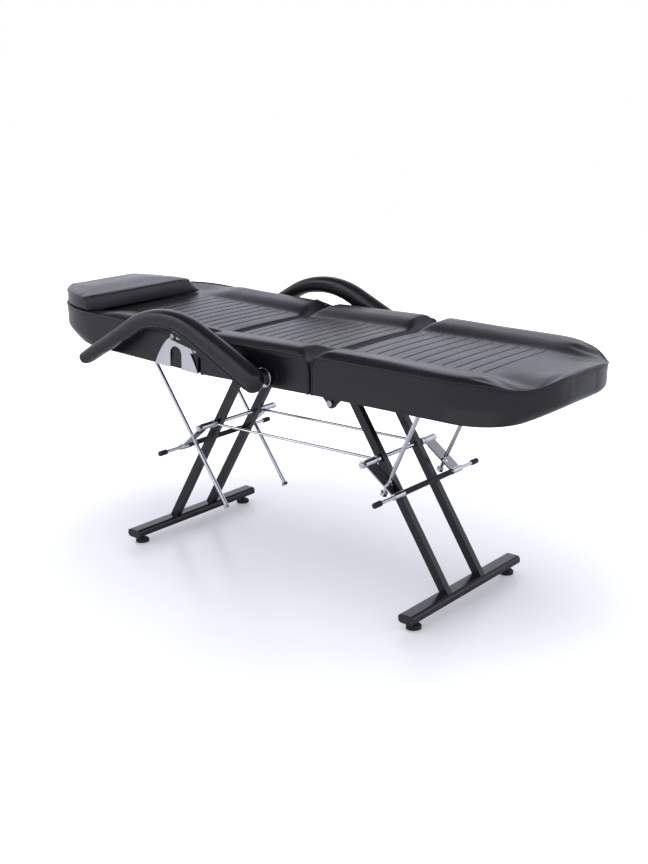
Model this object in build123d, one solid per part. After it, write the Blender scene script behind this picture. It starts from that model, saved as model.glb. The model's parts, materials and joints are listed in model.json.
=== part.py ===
from build123d import *
import os
from math import acos, atan2, cos, degrees, hypot, pi, radians, sin, sqrt, tan

# Tattoo chair: three padded sections on an A-shaped steel stand, with tilting-plate rod clamps.
# Millimetres. X runs along the couch from head (-) to foot (+), Y across it, Z up from the floor.

# Couch
couch_width = 600.0
seat_length = 408.6
backrest_length = 735.0
legrest_length = 634.5
seat_height = 711.0
side_height = 104.0
hinge_gap = 6.0
backrest_raise_deg = 3.0
legrest_droop_deg = 1.0

# Stand
foot_bar_spacing = 1058.0
foot_bar_length = 536.0
leg_pitch = 164.0
axle_height = 395.0
cross_tube_setback = 47.6

# Motions
backrest_travel_deg = 38.0
legrest_travel_deg = 45.0
lever_travel_deg = 12.0

# Clearances
turning_fit = 0.05
side_play = 0.4
soft_gap = 0.4
sliding_gap = 0.6

# Steel sections and rods
foot_bar_width = 50.0
foot_bar_depth = 25.0
foot_bar_clear = 23.0
frame_tube_width = 30.0
frame_tube_depth = 25.0
frame_tube_corner = 3.0
frame_wall = 2.0
leg_tube_width = 25.0
leg_tube_breadth = 20.0
leg_wall = 1.5
axle_diameter = 12.0
rod_diameter = 12.0
release_bar_diameter = 10.0
pin_diameter = 10.0

# Upholstery
board_thickness = 12.0
board_inset = 6.0
crown_height = 20.0
bolster_width = 90.0
panel_recess = 3.0
side_draw_in = 3.0
hinge_end_radius = 62.0
channel_width = 4.0
channel_depth = 2.5
channel_pitch = 38.0
underside_rise = 36.0
underside_setback = 64.0
plan_margin = 0.5
batten_thickness = 20.0
pad_skin = 3.0

# Places that several pieces share
pad_half = couch_width / 2
pad_bottom = seat_height - side_height
board_top = pad_bottom + board_thickness
crown_top = seat_height + crown_height
hinge_b_x = -164.4
hinge_c_x = hinge_b_x + seat_length
backrest_axis_drop = 31.0
backrest_axis = (hinge_b_x, seat_height - backrest_axis_drop)
legrest_axis_drop = 40.0
legrest_axis = (hinge_c_x, pad_bottom - legrest_axis_drop)
backrest_lift = 2.0
leg_side = leg_pitch / 2
foot_bar_top = foot_bar_clear + foot_bar_depth
cross_tube_bottom = pad_bottom - frame_tube_depth
leg_top_x = hinge_c_x - cross_tube_setback
lean = atan2(foot_bar_spacing / 2 - leg_top_x, cross_tube_bottom - foot_bar_top)
axle_x = leg_top_x + (cross_tube_bottom - axle_height) * tan(lean)
head_axle = (-axle_x, axle_height)
foot_axle = (axle_x, axle_height)

parts = {}


def add(node, *solids):
    parts[node] = list(solids)


def turn(shape, axis_xz, angle_deg):
    """Turns a shape about a line along +Y, right-handed."""
    x, z = axis_xz
    return Pos(x, 0, z) * Rot(0, angle_deg, 0) * Pos(-x, 0, -z) * shape


def turn_point(point_xz, axis_xz, angle_deg):
    dx, dz = point_xz[0] - axis_xz[0], point_xz[1] - axis_xz[1]
    a = radians(angle_deg)
    return (axis_xz[0] + dx * cos(a) + dz * sin(a), axis_xz[1] - dx * sin(a) + dz * cos(a))


def along_y(face, y0, y1):
    """Sweeps a face drawn in the XZ plane from y0 to y1."""
    return Pos(0, y1, 0) * extrude(Plane.XZ * face, amount=y1 - y0)


def rod_y(point_xz, radius, y0, y1):
    return along_y(Pos(*point_xz) * Circle(radius), y0, y1)


def between(side, y0, y1):
    """The same stretch of Y on the left (+1) or right (-1) side, low end first."""
    return (y0, y1) if side > 0 else (-y1, -y0)


def outline(points):
    return make_face(Polyline(*points, close=True))


def hull_bar(a, b, radius_a, radius_b):
    """A flat link in XZ with a round end about a and another about b."""
    return make_hull((Pos(*a) * Circle(radius_a)).edges() + (Pos(*b) * Circle(radius_b)).edges())


def hex_nut(across_flats, bore_radius):
    return RegularPolygon(across_flats / 2, 6, major_radius=False) - Circle(bore_radius)


# Stand: foot bars, levelling feet, legs
foot_bar_corner = 10.0
cap_flange = 3.0
cap_plug = 18.0
foot_spacing = 465.0
foot_disc_diameter = 42.0
foot_disc_height = 11.0
foot_disc_edge = 3.0
foot_stem_diameter = 10.0
foot_nut_flats = 17.0
foot_nut_height = 6.0


def foot_bar_x(end):
    return end * foot_bar_spacing / 2


def foot_bar(end):
    z = foot_bar_clear + foot_bar_depth / 2
    outer = RectangleRounded(foot_bar_width, foot_bar_depth, foot_bar_corner)
    inner = RectangleRounded(foot_bar_width - 2 * frame_wall, foot_bar_depth - 2 * frame_wall,
                             foot_bar_corner - frame_wall)
    half = foot_bar_length / 2 - cap_flange
    bar = along_y(Pos(foot_bar_x(end), z) * (outer - inner), -half, half)
    for side in (-1, 1):
        bar -= Pos(foot_bar_x(end), side * foot_spacing / 2, foot_bar_clear) * Cylinder(
            foot_stem_diameter / 2, 2 * foot_bar_corner)
    return bar


def foot_bar_cap(end, side):
    z = foot_bar_clear + foot_bar_depth / 2
    half = foot_bar_length / 2
    rim = RectangleRounded(foot_bar_width, foot_bar_depth, foot_bar_corner)
    plug = RectangleRounded(foot_bar_width - 2 * frame_wall, foot_bar_depth - 2 * frame_wall,
                            foot_bar_corner - frame_wall)
    at = Pos(foot_bar_x(end), z)
    return (along_y(at * rim, *between(side, half - cap_flange, half))
            + along_y(at * plug, *between(side, half - cap_flange - cap_plug, half - cap_flange)))


def levelling_foot(end, side):
    at = Pos(foot_bar_x(end), side * foot_spacing / 2, 0)
    disc = extrude(Circle(foot_disc_diameter / 2), amount=foot_disc_height)
    disc = chamfer(disc.edges().group_by(Axis.Z)[-1], foot_disc_edge)
    stem_top = foot_bar_clear + foot_bar_corner
    stem = extrude(Circle(foot_stem_diameter / 2), amount=stem_top)
    return at * (disc + stem)


def levelling_nut(end, side):
    at = Pos(foot_bar_x(end), side * foot_spacing / 2, foot_bar_clear - foot_nut_height)
    return at * extrude(hex_nut(foot_nut_flats, foot_stem_diameter / 2), amount=foot_nut_height)


def leg_x(end, z):
    return end * (leg_top_x + (cross_tube_bottom - z) * tan(lean))


def leg(end, side):
    """A leaning rectangular tube from the foot bar up to the seat's cross tube."""
    def slab(width, breadth):
        half = width / 2 / cos(lean)
        low, high = foot_bar_top, cross_tube_bottom
        points = [(leg_x(end, low) - half, low), (leg_x(end, low) + half, low),
                  (leg_x(end, high) + half, high), (leg_x(end, high) - half, high)]
        return along_y(outline(points), side * leg_side - breadth / 2, side * leg_side + breadth / 2)
    tube = slab(leg_tube_width, leg_tube_breadth)
    tube -= slab(leg_tube_width - 2 * leg_wall, leg_tube_breadth - 2 * leg_wall)
    axle = head_axle if end < 0 else foot_axle
    hole = rod_y(axle, axle_diameter / 2 + turning_fit, side * leg_side - leg_tube_breadth,
                 side * leg_side + leg_tube_breadth)
    return tube - hole


# Seat frame: two rails, two cross tubes, plywood board, side battens
rail_side = 190.0
rail_end_gap = 20.0


def tube_section():
    outer = RectangleRounded(frame_tube_width, frame_tube_depth, frame_tube_corner)
    inner = RectangleRounded(frame_tube_width - 2 * frame_wall, frame_tube_depth - 2 * frame_wall,
                             frame_tube_corner - frame_wall)
    return outer - inner


def rail(x0, x1, side, offset):
    z = cross_tube_bottom + frame_tube_depth / 2
    return Pos(x0, side * offset, z) * extrude(Plane.YZ * tube_section(), amount=x1 - x0)


def seat_rail(side):
    x0 = leg_x(-1, cross_tube_bottom) - frame_tube_width / 2
    return rail(x0, hinge_c_x - rail_end_gap, side, rail_side)


def cross_tube(end):
    half = rail_side - frame_tube_width / 2
    at = Pos(leg_x(end, cross_tube_bottom), cross_tube_bottom + frame_tube_depth / 2)
    return along_y(at * tube_section(), -half, half)


def board(x0, x1, bottom, low_radius=0, high_radius=0):
    """A plywood board, with its corners rounded like the free end that it carries."""
    half = pad_half - board_inset
    face = Rectangle(x1 - x0, 2 * half)
    if low_radius:
        face = fillet(face.vertices().group_by(Axis.X)[0], low_radius)
    if high_radius:
        face = fillet(face.vertices().group_by(Axis.X)[-1], high_radius)
    return Pos((x0 + x1) / 2, 0, bottom) * extrude(face, amount=board_thickness)


def batten(x0, x1, side, bottom, height):
    low, high = between(side, pad_half - pad_skin - side_draw_in - batten_thickness,
                        pad_half - pad_skin - side_draw_in)
    return Pos((x0 + x1) / 2, (low + high) / 2, bottom) * extrude(
        Rectangle(x1 - x0, high - low), amount=height)


# Upholstered pads
def cross_profile(bottom):
    """Half-round bolsters each side of a flat recessed panel, over sides that draw in."""
    w, top = pad_half, seat_height
    panel = top - panel_recess
    inner = w - bolster_width
    right = [Line((-w, bottom), (w, bottom)),
             ThreePointArc((w, bottom), (w - side_draw_in, (bottom + top) / 2), (w, top)),
             ThreePointArc((w, top), (w - bolster_width / 2, top + crown_height), (inner, panel)),
             Line((inner, panel), (-inner, panel)),
             ThreePointArc((-inner, panel), (-w + bolster_width / 2, top + crown_height), (-w, top)),
             ThreePointArc((-w, top), (-w + side_draw_in, (bottom + top) / 2), (-w, bottom))]
    return make_face(Wire(right))


def side_profile(x0, x1, bottom, round_low_end, round_high_end, flat, fade):
    """The pad seen from the side: a rolled edge at a hinge; at a free end the bolsters die out
    between fade and flat from it."""
    r, top = hinge_end_radius, crown_top
    k = r * (1 - cos(pi / 4))
    edges = [Line((x0, bottom), (x1, bottom))]
    if round_high_end:
        edges += [Line((x1, bottom), (x1, top - r)),
                  ThreePointArc((x1, top - r), (x1 - k, top - k), (x1 - r, top))]
        high = x1 - r
    else:
        edges += [Line((x1, bottom), (x1, seat_height)),
                  Line((x1, seat_height), (x1 - flat, seat_height)),
                  ThreePointArc((x1 - flat, seat_height),
                                (x1 - (flat + fade) / 2, top - crown_height / 3), (x1 - fade, top))]
        high = x1 - fade
    low = x0 + (r if round_low_end else fade)
    edges.append(Line((high, top), (low, top)))
    if round_low_end:
        edges += [ThreePointArc((x0 + r, top), (x0 + k, top - k), (x0, top - r)),
                  Line((x0, top - r), (x0, bottom))]
    else:
        edges += [ThreePointArc((x0 + fade, top), (x0 + (flat + fade) / 2, top - crown_height / 3),
                                (x0 + flat, seat_height)),
                  Line((x0 + flat, seat_height), (x0, seat_height)),
                  Line((x0, seat_height), (x0, bottom))]
    return make_face(Wire(edges))


def channels(xs, half_length):
    """Sewn channels: shallow V grooves across the recessed panel."""
    z = seat_height - panel_recess
    grooves = []
    for x in xs:
        v = outline([(x - channel_width, z + channel_depth), (x + channel_width, z + channel_depth),
                     (x, z - channel_depth)])
        grooves.append(along_y(v, -half_length, half_length))
    return grooves


def pad_form(x0, x1, bottom, rounds, flat, fade, envelope):
    body = Pos(x0, 0, 0) * extrude(Plane.YZ * cross_profile(bottom), amount=x1 - x0)
    body &= along_y(side_profile(x0, x1, bottom, *rounds, flat, fade), -2 * pad_half, 2 * pad_half)
    if envelope:
        body &= envelope
    return body


def upholstery(body, channel_xs, inside):
    body = body - channels(channel_xs, pad_half - bolster_width - channel_width)
    for piece in inside:
        body = body - piece
    return body.solid()


def tapered_end(hinge_x, end_x, radius, low_radius, bottom):
    """A round-cornered plan that stands straight above underside_rise and draws in below it."""
    inward = 1 if hinge_x > end_x else -1

    def plan(end, radius):
        face = Pos((hinge_x + end) / 2, 0) * Rectangle(abs(hinge_x - end), couch_width + 2 * plan_margin)
        return fillet(face.vertices().group_by(Axis.X)[0 if inward > 0 else -1], radius)
    knee = bottom + underside_rise
    top, low = plan(end_x, radius), plan(end_x + inward * underside_setback, low_radius)
    upper = Pos(0, 0, knee) * extrude(top, amount=crown_top - knee + crown_height)
    lower = loft([Pos(0, 0, bottom) * low, Pos(0, 0, knee) * top], ruled=True)
    return upper + lower


# Seat
seat_x0 = hinge_b_x + hinge_gap / 2
seat_x1 = hinge_c_x - hinge_gap / 2
seat_batten_gap = 8.0
seat_batten_height = 56.0
seat_channels = 9


def seat_pieces():
    plate = board(seat_x0 + board_inset, seat_x1 - board_inset, pad_bottom)
    sticks = [batten(seat_x0 + board_inset + seat_batten_gap, seat_x1 - board_inset - seat_batten_gap,
                     side, board_top, seat_batten_height) for side in (-1, 1)]
    middle = (seat_x0 + seat_x1) / 2
    xs = [middle + (i - (seat_channels - 1) / 2) * channel_pitch for i in range(seat_channels)]
    form = pad_form(seat_x0, seat_x1, pad_bottom, (True, True), 0, 0, None)
    pad = upholstery(form, xs, [plate] + sticks)
    return plate, sticks, pad


# Leg-rest, drawn level and then drooped about its hinge
legrest_x0 = hinge_c_x + hinge_gap / 2
legrest_x1 = hinge_c_x + legrest_length
foot_radius = 240.0
foot_low_radius = 130.0
foot_flat = 80.0
foot_fade = 240.0
legrest_channels = 9
legrest_rail_length = 330.0
legrest_rail_side = rail_side + 5.5


def legrest_pieces():
    low_x1 = legrest_x1 - underside_setback
    plate = board(legrest_x0 + board_inset, low_x1 - board_inset, pad_bottom,
                  high_radius=foot_low_radius - board_inset)
    envelope = tapered_end(legrest_x0, legrest_x1, foot_radius, foot_low_radius, pad_bottom)
    first = legrest_x0 + hinge_end_radius
    xs = [first + i * channel_pitch for i in range(legrest_channels)]
    form = pad_form(legrest_x0, legrest_x1, pad_bottom, (True, False), foot_flat, foot_fade, envelope)
    pad = upholstery(form, xs, [plate])
    return plate, pad


# Backrest, drawn level and then raised about its hinge
backrest_x1 = hinge_b_x - hinge_gap / 2
backrest_x0 = hinge_b_x - backrest_length
backrest_bottom = pad_bottom + backrest_lift
head_radius = 258.0
head_flat = 250.0
head_fade = 360.0
backrest_channels = 10
backrest_batten_length = 300.0
backrest_batten_height = 79.0


def backrest_pieces():
    low_x0 = backrest_x0 + underside_setback
    plate = board(low_x0 + board_inset, backrest_x1 - board_inset, backrest_bottom,
                  low_radius=head_radius - board_inset)
    stick_x1 = backrest_x1 - board_inset - seat_batten_gap
    sticks = [batten(stick_x1 - backrest_batten_length, stick_x1, side,
                     backrest_bottom + board_thickness, backrest_batten_height) for side in (-1, 1)]
    envelope = tapered_end(backrest_x1, backrest_x0, head_radius, head_radius, backrest_bottom)
    first = backrest_x1 - hinge_end_radius
    xs = [first - i * channel_pitch for i in range(backrest_channels)]
    form = pad_form(backrest_x0, backrest_x1, backrest_bottom, (False, True), head_flat, head_fade,
                    envelope)
    pad = upholstery(form, xs, [plate] + sticks)
    return plate, sticks, pad, form


def raised(shape):
    return turn(shape, backrest_axis, backrest_raise_deg)


def drooped(shape):
    return turn(shape, legrest_axis, legrest_droop_deg)


# Axles, stretchers and the tilting clamp plates
plate_length = 124.0
plate_width = 45.0
plate_thickness = 4.0
plate_inner = 117.0
plate_hole_at = 79.0
head_plate_slope_deg = 40.0
foot_plate_slope_deg = 37.0
stretcher_diameter = 8.0
stretcher_eye_diameter = 24.0
stretcher_eye_width = 10.0
stretcher_gap = 8.0
axle_nut_flats = 19.0
axle_nut_height = 10.0
release_bar_length = 488.0
grip_diameter = 16.0
grip_end_gap = 6.0
tip_diameter = 16.0
tip_length = 28.0
tip_wall = 4.0
leg_outer = leg_side + leg_tube_breadth / 2
stretcher_inner = leg_outer + stretcher_gap
spacer_inner = stretcher_inner + stretcher_eye_width + side_play
spacer_radius = 9.0
axle_half = plate_inner + plate_width + side_play + axle_nut_height


def plate_point(end, along):
    """A point on the clamp plate's middle line, measured out from the axle."""
    slope = radians(head_plate_slope_deg if end < 0 else foot_plate_slope_deg)
    axle = head_axle if end < 0 else foot_axle
    return (axle[0] + end * along * cos(slope), axle[1] - along * sin(slope))


rod_side = 135.0
rod_hole_play = 0.6


# Rods: each hangs from a pin under its section and runs through the plates
backrest_pin_drop = 18.0
legrest_pin_drop = 12.0
backrest_rod_below = 239.0
legrest_rod_below = 42.0
rod_eye_diameter = 22.0
rod_eye_width = 12.0
rod_nut_flats = 19.0
rod_nut_height = 9.0

head_hole = plate_point(-1, plate_hole_at)
foot_hole = plate_point(1, plate_hole_at)


def backrest_pin_level():
    """The pin lies as far from the hinge as the plate's hole does, so the rod turns half as far."""
    reach = hypot(head_hole[0] - backrest_axis[0], head_hole[1] - backrest_axis[1])
    depth = backrest_axis[1] - backrest_bottom + backrest_pin_drop
    return (backrest_axis[0] - sqrt(reach ** 2 - depth ** 2), backrest_axis[1] - depth)


legrest_pin_reach = 249.0


def legrest_pin_level():
    return (legrest_axis[0] + legrest_pin_reach, pad_bottom - legrest_pin_drop)


backrest_pin = turn_point(backrest_pin_level(), backrest_axis, backrest_raise_deg)
legrest_pin = turn_point(legrest_pin_level(), legrest_axis, legrest_droop_deg)


def rod_angle(pin, hole):
    """Right-handed angle about +Y of the line from the pin to the hole."""
    return -degrees(atan2(hole[1] - pin[1], hole[0] - pin[0]))


full_turn_deg = 360.0
swing_steps = 45
share_steps = 1000


def rod_swing(axis, pin, hole, travel):
    """The constant share of its section's turn that keeps a rod nearest to its hole."""
    start = rod_angle(pin, hole)
    turns = []
    for i in range(1, swing_steps + 1):
        angle = travel * i / swing_steps
        moved = turn_point(pin, axis, angle)
        turned = (rod_angle(moved, hole) - start + full_turn_deg / 2) % full_turn_deg
        turns.append((angle, turned - full_turn_deg / 2,
                      hypot(moved[0] - hole[0], moved[1] - hole[1])))
    best = None
    for i in range(share_steps + 1):
        share = i / share_steps
        misses = [0.0] + [radians(turned - share * angle) * reach for angle, turned, reach in turns]
        spread = max(misses) - min(misses)
        if best is None or spread < best[0]:
            best = (spread, share)
    return best[1]


backrest_swing_share = rod_swing(backrest_axis, backrest_pin, head_hole, backrest_travel_deg)
legrest_swing_share = rod_swing(legrest_axis, legrest_pin, foot_hole, legrest_travel_deg)


slot_steps = 10


def slot_span(end):
    """How far out along the plate a rod reaches, over every turn of section and lever."""
    if end < 0:
        axis, pin, hole, travel, share = (backrest_axis, backrest_pin, head_hole, backrest_travel_deg,
                                          backrest_swing_share)
    else:
        axis, pin, hole, travel, share = (legrest_axis, legrest_pin, foot_hole, legrest_travel_deg,
                                          legrest_swing_share)
    axle = head_axle if end < 0 else foot_axle
    start = rod_angle(pin, hole)
    lows, highs = [], []
    for i in range(slot_steps + 1):
        angle = travel * i / slot_steps
        moved = turn_point(pin, axis, angle)
        rod = radians(start + share * angle)
        rx, rz = cos(rod), -sin(rod)
        for lift in (0, lever_travel_deg / 2, lever_travel_deg):
            far = turn_point(plate_point(end, plate_length), axle, -end * lift)
            px, pz = (far[0] - axle[0]) / plate_length, (far[1] - axle[1]) / plate_length
            cross = px * rz - pz * rx
            dx, dz = moved[0] - axle[0], moved[1] - axle[1]
            along = (dx * rz - dz * rx) / cross
            lean_in = abs(px * rx + pz * rz) / abs(cross)
            half = (rod_diameter / 2 + rod_hole_play) / abs(cross) + plate_thickness / 2 * lean_in
            lows.append(along - half)
            highs.append(along + half)
    return min(lows), max(highs)


def clamp_plate(end, side):
    """A rolled plate: an eye round the axle, a slot for the rod, an eye round the release bar."""
    axle = head_axle if end < 0 else foot_axle
    bar = plate_point(end, plate_length)
    eye = axle_diameter / 2 + turning_fit
    small_eye = release_bar_diameter / 2
    slope = head_plate_slope_deg if end < 0 else foot_plate_slope_deg
    middle = ((axle[0] + bar[0]) / 2, (axle[1] + bar[1]) / 2)
    web = Pos(*middle) * Rot(0, 0, -end * slope) * Rectangle(plate_length, plate_thickness)
    face = (web + Pos(*axle) * Circle(eye + plate_thickness)
            + Pos(*bar) * Circle(small_eye + plate_thickness))
    face = face - Pos(*axle) * Circle(eye) - Pos(*bar) * Circle(small_eye)
    y0, y1 = between(side, plate_inner, plate_inner + plate_width)
    body = along_y(face, y0, y1)
    low, high = slot_span(end)
    centre = plate_point(end, (low + high) / 2)
    slot = extrude(SlotOverall(high - low, rod_diameter + 2 * rod_hole_play), amount=plate_length / 2,
                   both=True)
    return body - Pos(centre[0], side * rod_side, centre[1]) * Rot(0, end * slope, 0) * slot


def stretcher(side):
    """A round tie between the two axles, with a flat eye at each end."""
    y0, y1 = between(side, stretcher_inner, stretcher_inner + stretcher_eye_width)
    eye = stretcher_eye_diameter / 2
    reach = axle_x - eye + stretcher_diameter / 2
    shaft = Pos(-reach, (y0 + y1) / 2, axle_height) * extrude(
        Plane.YZ * Circle(stretcher_diameter / 2), amount=2 * reach)
    for axle in (head_axle, foot_axle):
        shaft += rod_y(axle, eye, y0, y1)
    for axle in (head_axle, foot_axle):
        shaft -= rod_y(axle, axle_diameter / 2 + turning_fit, y0 - side_play, y1 + side_play)
    return shaft


def axle_spacer(end, side):
    axle = head_axle if end < 0 else foot_axle
    y0, y1 = between(side, spacer_inner, plate_inner - side_play)
    ring = Circle(spacer_radius) - Circle(axle_diameter / 2 + turning_fit)
    return along_y(Pos(*axle) * ring, y0, y1)


def axle_nut(end, side):
    """A domed cap nut, bored for the axle's end."""
    axle = head_axle if end < 0 else foot_axle
    y0, y1 = between(side, axle_half - axle_nut_height, axle_half)
    body = along_y(Pos(*axle) * hex_nut(axle_nut_flats, axle_diameter / 2), y0, y1)
    dome_y0, dome_y1 = between(side, axle_half, axle_half + axle_diameter / 4)
    return body + rod_y(axle, axle_nut_flats / 2 - frame_wall, dome_y0, dome_y1)


def release_bar(end):
    half = release_bar_length / 2
    return rod_y(plate_point(end, plate_length), release_bar_diameter / 2, -half, half)


def grip_sleeve(end):
    half = plate_inner - grip_end_gap
    ring = Circle(grip_diameter / 2) - Circle(release_bar_diameter / 2)
    sleeve = along_y(Pos(*plate_point(end, plate_length)) * ring, -half, half)
    return chamfer(sleeve.edges().group_by(Axis.Y)[0] + sleeve.edges().group_by(Axis.Y)[-1],
                   frame_wall / 2)


def bar_tip(end, side):
    half = release_bar_length / 2
    at = plate_point(end, plate_length)
    y0, y1 = between(side, half - tip_length + tip_wall, half + tip_wall)
    tip = rod_y(at, tip_diameter / 2, y0, y1)
    outer_end = tip.edges().group_by(Axis.Y)[-1 if side > 0 else 0]
    tip = fillet(outer_end, tip_wall / 2)
    return tip - rod_y(at, release_bar_diameter / 2, *between(side, half - tip_length, half))


def support_rod(pin, hole, below, side):
    """A polished rod with an eye over the pin, its shaft pointing at the plate's hole."""
    reach = hypot(hole[0] - pin[0], hole[1] - pin[1]) + below
    shaft = extrude(Circle(rod_diameter / 2), amount=reach)
    angle = rod_angle(pin, hole)
    shaft = Pos(pin[0], side * rod_side, pin[1]) * Rot(0, angle + 90, 0) * shaft
    low, high = side * rod_side - rod_eye_width / 2, side * rod_side + rod_eye_width / 2
    eye = rod_y(pin, rod_eye_diameter / 2, low, high)
    bore = rod_y(pin, pin_diameter / 2 + turning_fit, low - rod_diameter, high + rod_diameter)
    return shaft + eye - bore


def rod_end_nut(pin, hole, below, side):
    reach = hypot(hole[0] - pin[0], hole[1] - pin[1]) + below - rod_nut_height
    nut = extrude(hex_nut(rod_nut_flats, rod_diameter / 2), amount=rod_nut_height)
    at = Pos(pin[0], side * rod_side, pin[1]) * Rot(0, rod_angle(pin, hole) + 90, 0)
    return at * Pos(0, 0, reach) * nut


# Brackets under the sections that hold the rods' pins
bracket_length = 44.0
bracket_thickness = 3.0
pin_head_diameter = 15.0
pin_head_width = 3.0
ear_inner = rod_eye_width / 2 + side_play
ear_outer = ear_inner + bracket_thickness


def rod_bracket(pin_level, under, side):
    """A base screwed under the board with two ears for the pin."""
    mid = side * rod_side
    base = Pos(pin_level[0], mid, under) * extrude(
        Rectangle(bracket_length, 2 * ear_outer + bracket_length / 2), amount=-bracket_thickness)
    ear = hull_bar(pin_level, (pin_level[0], under - rod_eye_diameter / 2), rod_eye_diameter / 2,
                   rod_eye_diameter / 2)
    ear -= Pos(*pin_level) * Circle(pin_diameter / 2)
    bracket = base
    for low, high in ((mid - ear_outer, mid - ear_inner), (mid + ear_inner, mid + ear_outer)):
        bracket += along_y(ear, low, high)
    eye_room = rod_y(pin_level, rod_eye_diameter / 2 + side_play, mid - ear_inner, mid + ear_inner)
    return bracket - eye_room


def rod_pin(pin_level, side):
    mid = side * rod_side
    pin = rod_y(pin_level, pin_diameter / 2, mid - ear_outer, mid + ear_outer)
    for low, high in ((mid - ear_outer - pin_head_width, mid - ear_outer),
                      (mid + ear_outer, mid + ear_outer + pin_head_width)):
        pin += rod_y(pin_level, pin_head_diameter / 2, low, high)
    return pin


# Hinge between seat and leg-rest: ears hanging beside the rails
ear_thickness = 5.0
ear_radius = 15.0
ear_length = 95.0
ear_low = 2.0
rail_outer = rail_side + frame_tube_width / 2
hinge_nut_flats = 17.0
hinge_head_height = 6.0


def hinge_ear(direction):
    """A flat ear with its round end about the leg-rest's hinge."""
    z0, z1 = cross_tube_bottom + ear_low, pad_bottom - ear_low
    x0 = legrest_axis[0] + direction * rail_end_gap
    x1 = legrest_axis[0] + direction * ear_length
    tab = Pos((x0 + x1) / 2, (z0 + z1) / 2) * Rectangle(abs(x1 - x0), z1 - z0)
    web = make_hull((Pos(*legrest_axis) * Circle(ear_radius)).edges()
                    + (Pos(x0 + direction * ear_radius, (z0 + z1) / 2) * Circle((z1 - z0) / 2)).edges())
    return tab + web - Pos(*legrest_axis) * Circle(pin_diameter / 2 + turning_fit)


def seat_ear(side):
    return along_y(hinge_ear(-1), *between(side, rail_outer, rail_outer + ear_thickness))


def legrest_ear(side):
    outer = legrest_rail_side + frame_tube_width / 2
    return along_y(hinge_ear(1), *between(side, outer, outer + ear_thickness))


def hinge_bolt(side):
    y0 = rail_outer - hinge_head_height
    y1 = legrest_rail_side + frame_tube_width / 2 + ear_thickness + side_play
    bolt = rod_y(legrest_axis, pin_diameter / 2, *between(side, y0, y1))
    head = along_y(Pos(*legrest_axis) * RegularPolygon(hinge_nut_flats / 2, 6, major_radius=False),
                   *between(side, y1, y1 + hinge_head_height))
    nut = along_y(Pos(*legrest_axis) * RegularPolygon(hinge_nut_flats / 2, 6, major_radius=False),
                  *between(side, y0, rail_outer - side_play))
    return bolt + head + nut


# Side plates: the chrome arch on the backrest, the black bar on the seat, and the armrest's pivot
arch_half_width = 88.0
arch_height = 94.0
arch_centre_back = 85.6
arch_thickness = 4.0
arch_shoulder = 27.0
arch_height_shares = (0.0, 0.3, 0.6, 0.85)
arch_window_half = 23.0
arch_window_height = 65.0
hinge_lug_radius = 16.0
guide_back = 82.0
guide_up = 27.0
guide_pin_diameter = 8.0
guide_head_diameter = 14.0
guide_head_thickness = 3.0
tongue_radius = 10.0
bar_thickness = 5.0
bar_radius = 17.0
stud_head_radius = 9.0
stud_head_height = 4.0
armrest_ahead = 256.4
armrest_drop = 75.0
side_screw_head = 5.0
side_screw_shank = 2.5
side_screw_depth = 22.0
armrest_axis = (hinge_b_x + armrest_ahead, seat_height - armrest_drop)
guide_point = (hinge_b_x - guide_back, backrest_axis[1] + guide_up)
arch_inner = pad_half + soft_gap
arch_outer = arch_inner + arch_thickness
bar_inner = arch_outer + sliding_gap
bar_outer = bar_inner + bar_thickness


def arch_face():
    """A parabolic arch with an open window, a lug that reaches to the hinge and a tongue."""
    x = hinge_b_x - arch_centre_back
    low = backrest_bottom
    right = [(x + arch_half_width * sqrt(1 - share), low + arch_height * share)
             for share in arch_height_shares]
    left = [(2 * x - px, pz) for px, pz in reversed(right)]
    curve = Spline(*right, (x, low + arch_height), *left)
    arch = make_face(Wire([curve, Line(left[-1], right[0])]))
    lug = hull_bar(backrest_axis, (x + arch_shoulder, backrest_axis[1]), hinge_lug_radius,
                   hinge_lug_radius)
    tongue = hull_bar(guide_point, (x, low + arch_height - 2 * tongue_radius), tongue_radius,
                      tongue_radius)
    w = arch_window_half
    spring = low + arch_window_height - w
    sides = [Line((x - w, low - w), (x + w, low - w)), Line((x + w, low - w), (x + w, spring)),
             ThreePointArc((x + w, spring), (x, spring + w), (x - w, spring)),
             Line((x - w, spring), (x - w, low - w))]
    window = make_face(Wire(sides))
    return arch + lug + tongue - window


def arch_screw_points():
    """Two screws side by side near the crown, into the batten."""
    x = hinge_b_x - arch_centre_back
    top = backrest_bottom + board_thickness + backrest_batten_height
    return [(x - side_screw_head, top - 2 * side_screw_shank),
            (x + 2 * side_screw_head, top - 2 * side_screw_head)]


def arch_plate(side):
    face = arch_face() - Pos(*backrest_axis) * Circle(pin_diameter / 2 + turning_fit)
    for point in arch_screw_points():
        face -= Pos(*point) * Circle(side_screw_shank)
    return along_y(face, *between(side, arch_inner, arch_outer))


def side_screw(point, side, head_from):
    shank = rod_y(point, side_screw_shank, *between(side, head_from - side_screw_depth, head_from))
    head = rod_y(point, side_screw_head, *between(side, head_from, head_from + side_screw_shank))
    return shank + head


bar_fixing_shares = (0.42, 0.84)
spacer_ring_radius = 11.0


def side_bar_points():
    """Two fixing points on the bar between the hinge and the armrest's pivot."""
    a, b = backrest_axis, armrest_axis
    return [(a[0] + (b[0] - a[0]) * share, a[1] + (b[1] - a[1]) * share)
            for share in bar_fixing_shares]



def side_bar(side):
    face = hull_bar(backrest_axis, armrest_axis, bar_radius, bar_radius)
    face = (face - Pos(*backrest_axis) * Circle(pin_diameter / 2)
            - Pos(*armrest_axis) * Circle(axle_diameter / 2))
    for point in side_bar_points():
        face -= Pos(*point) * Circle(side_screw_shank)
    return along_y(face, *between(side, bar_inner, bar_outer))


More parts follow.
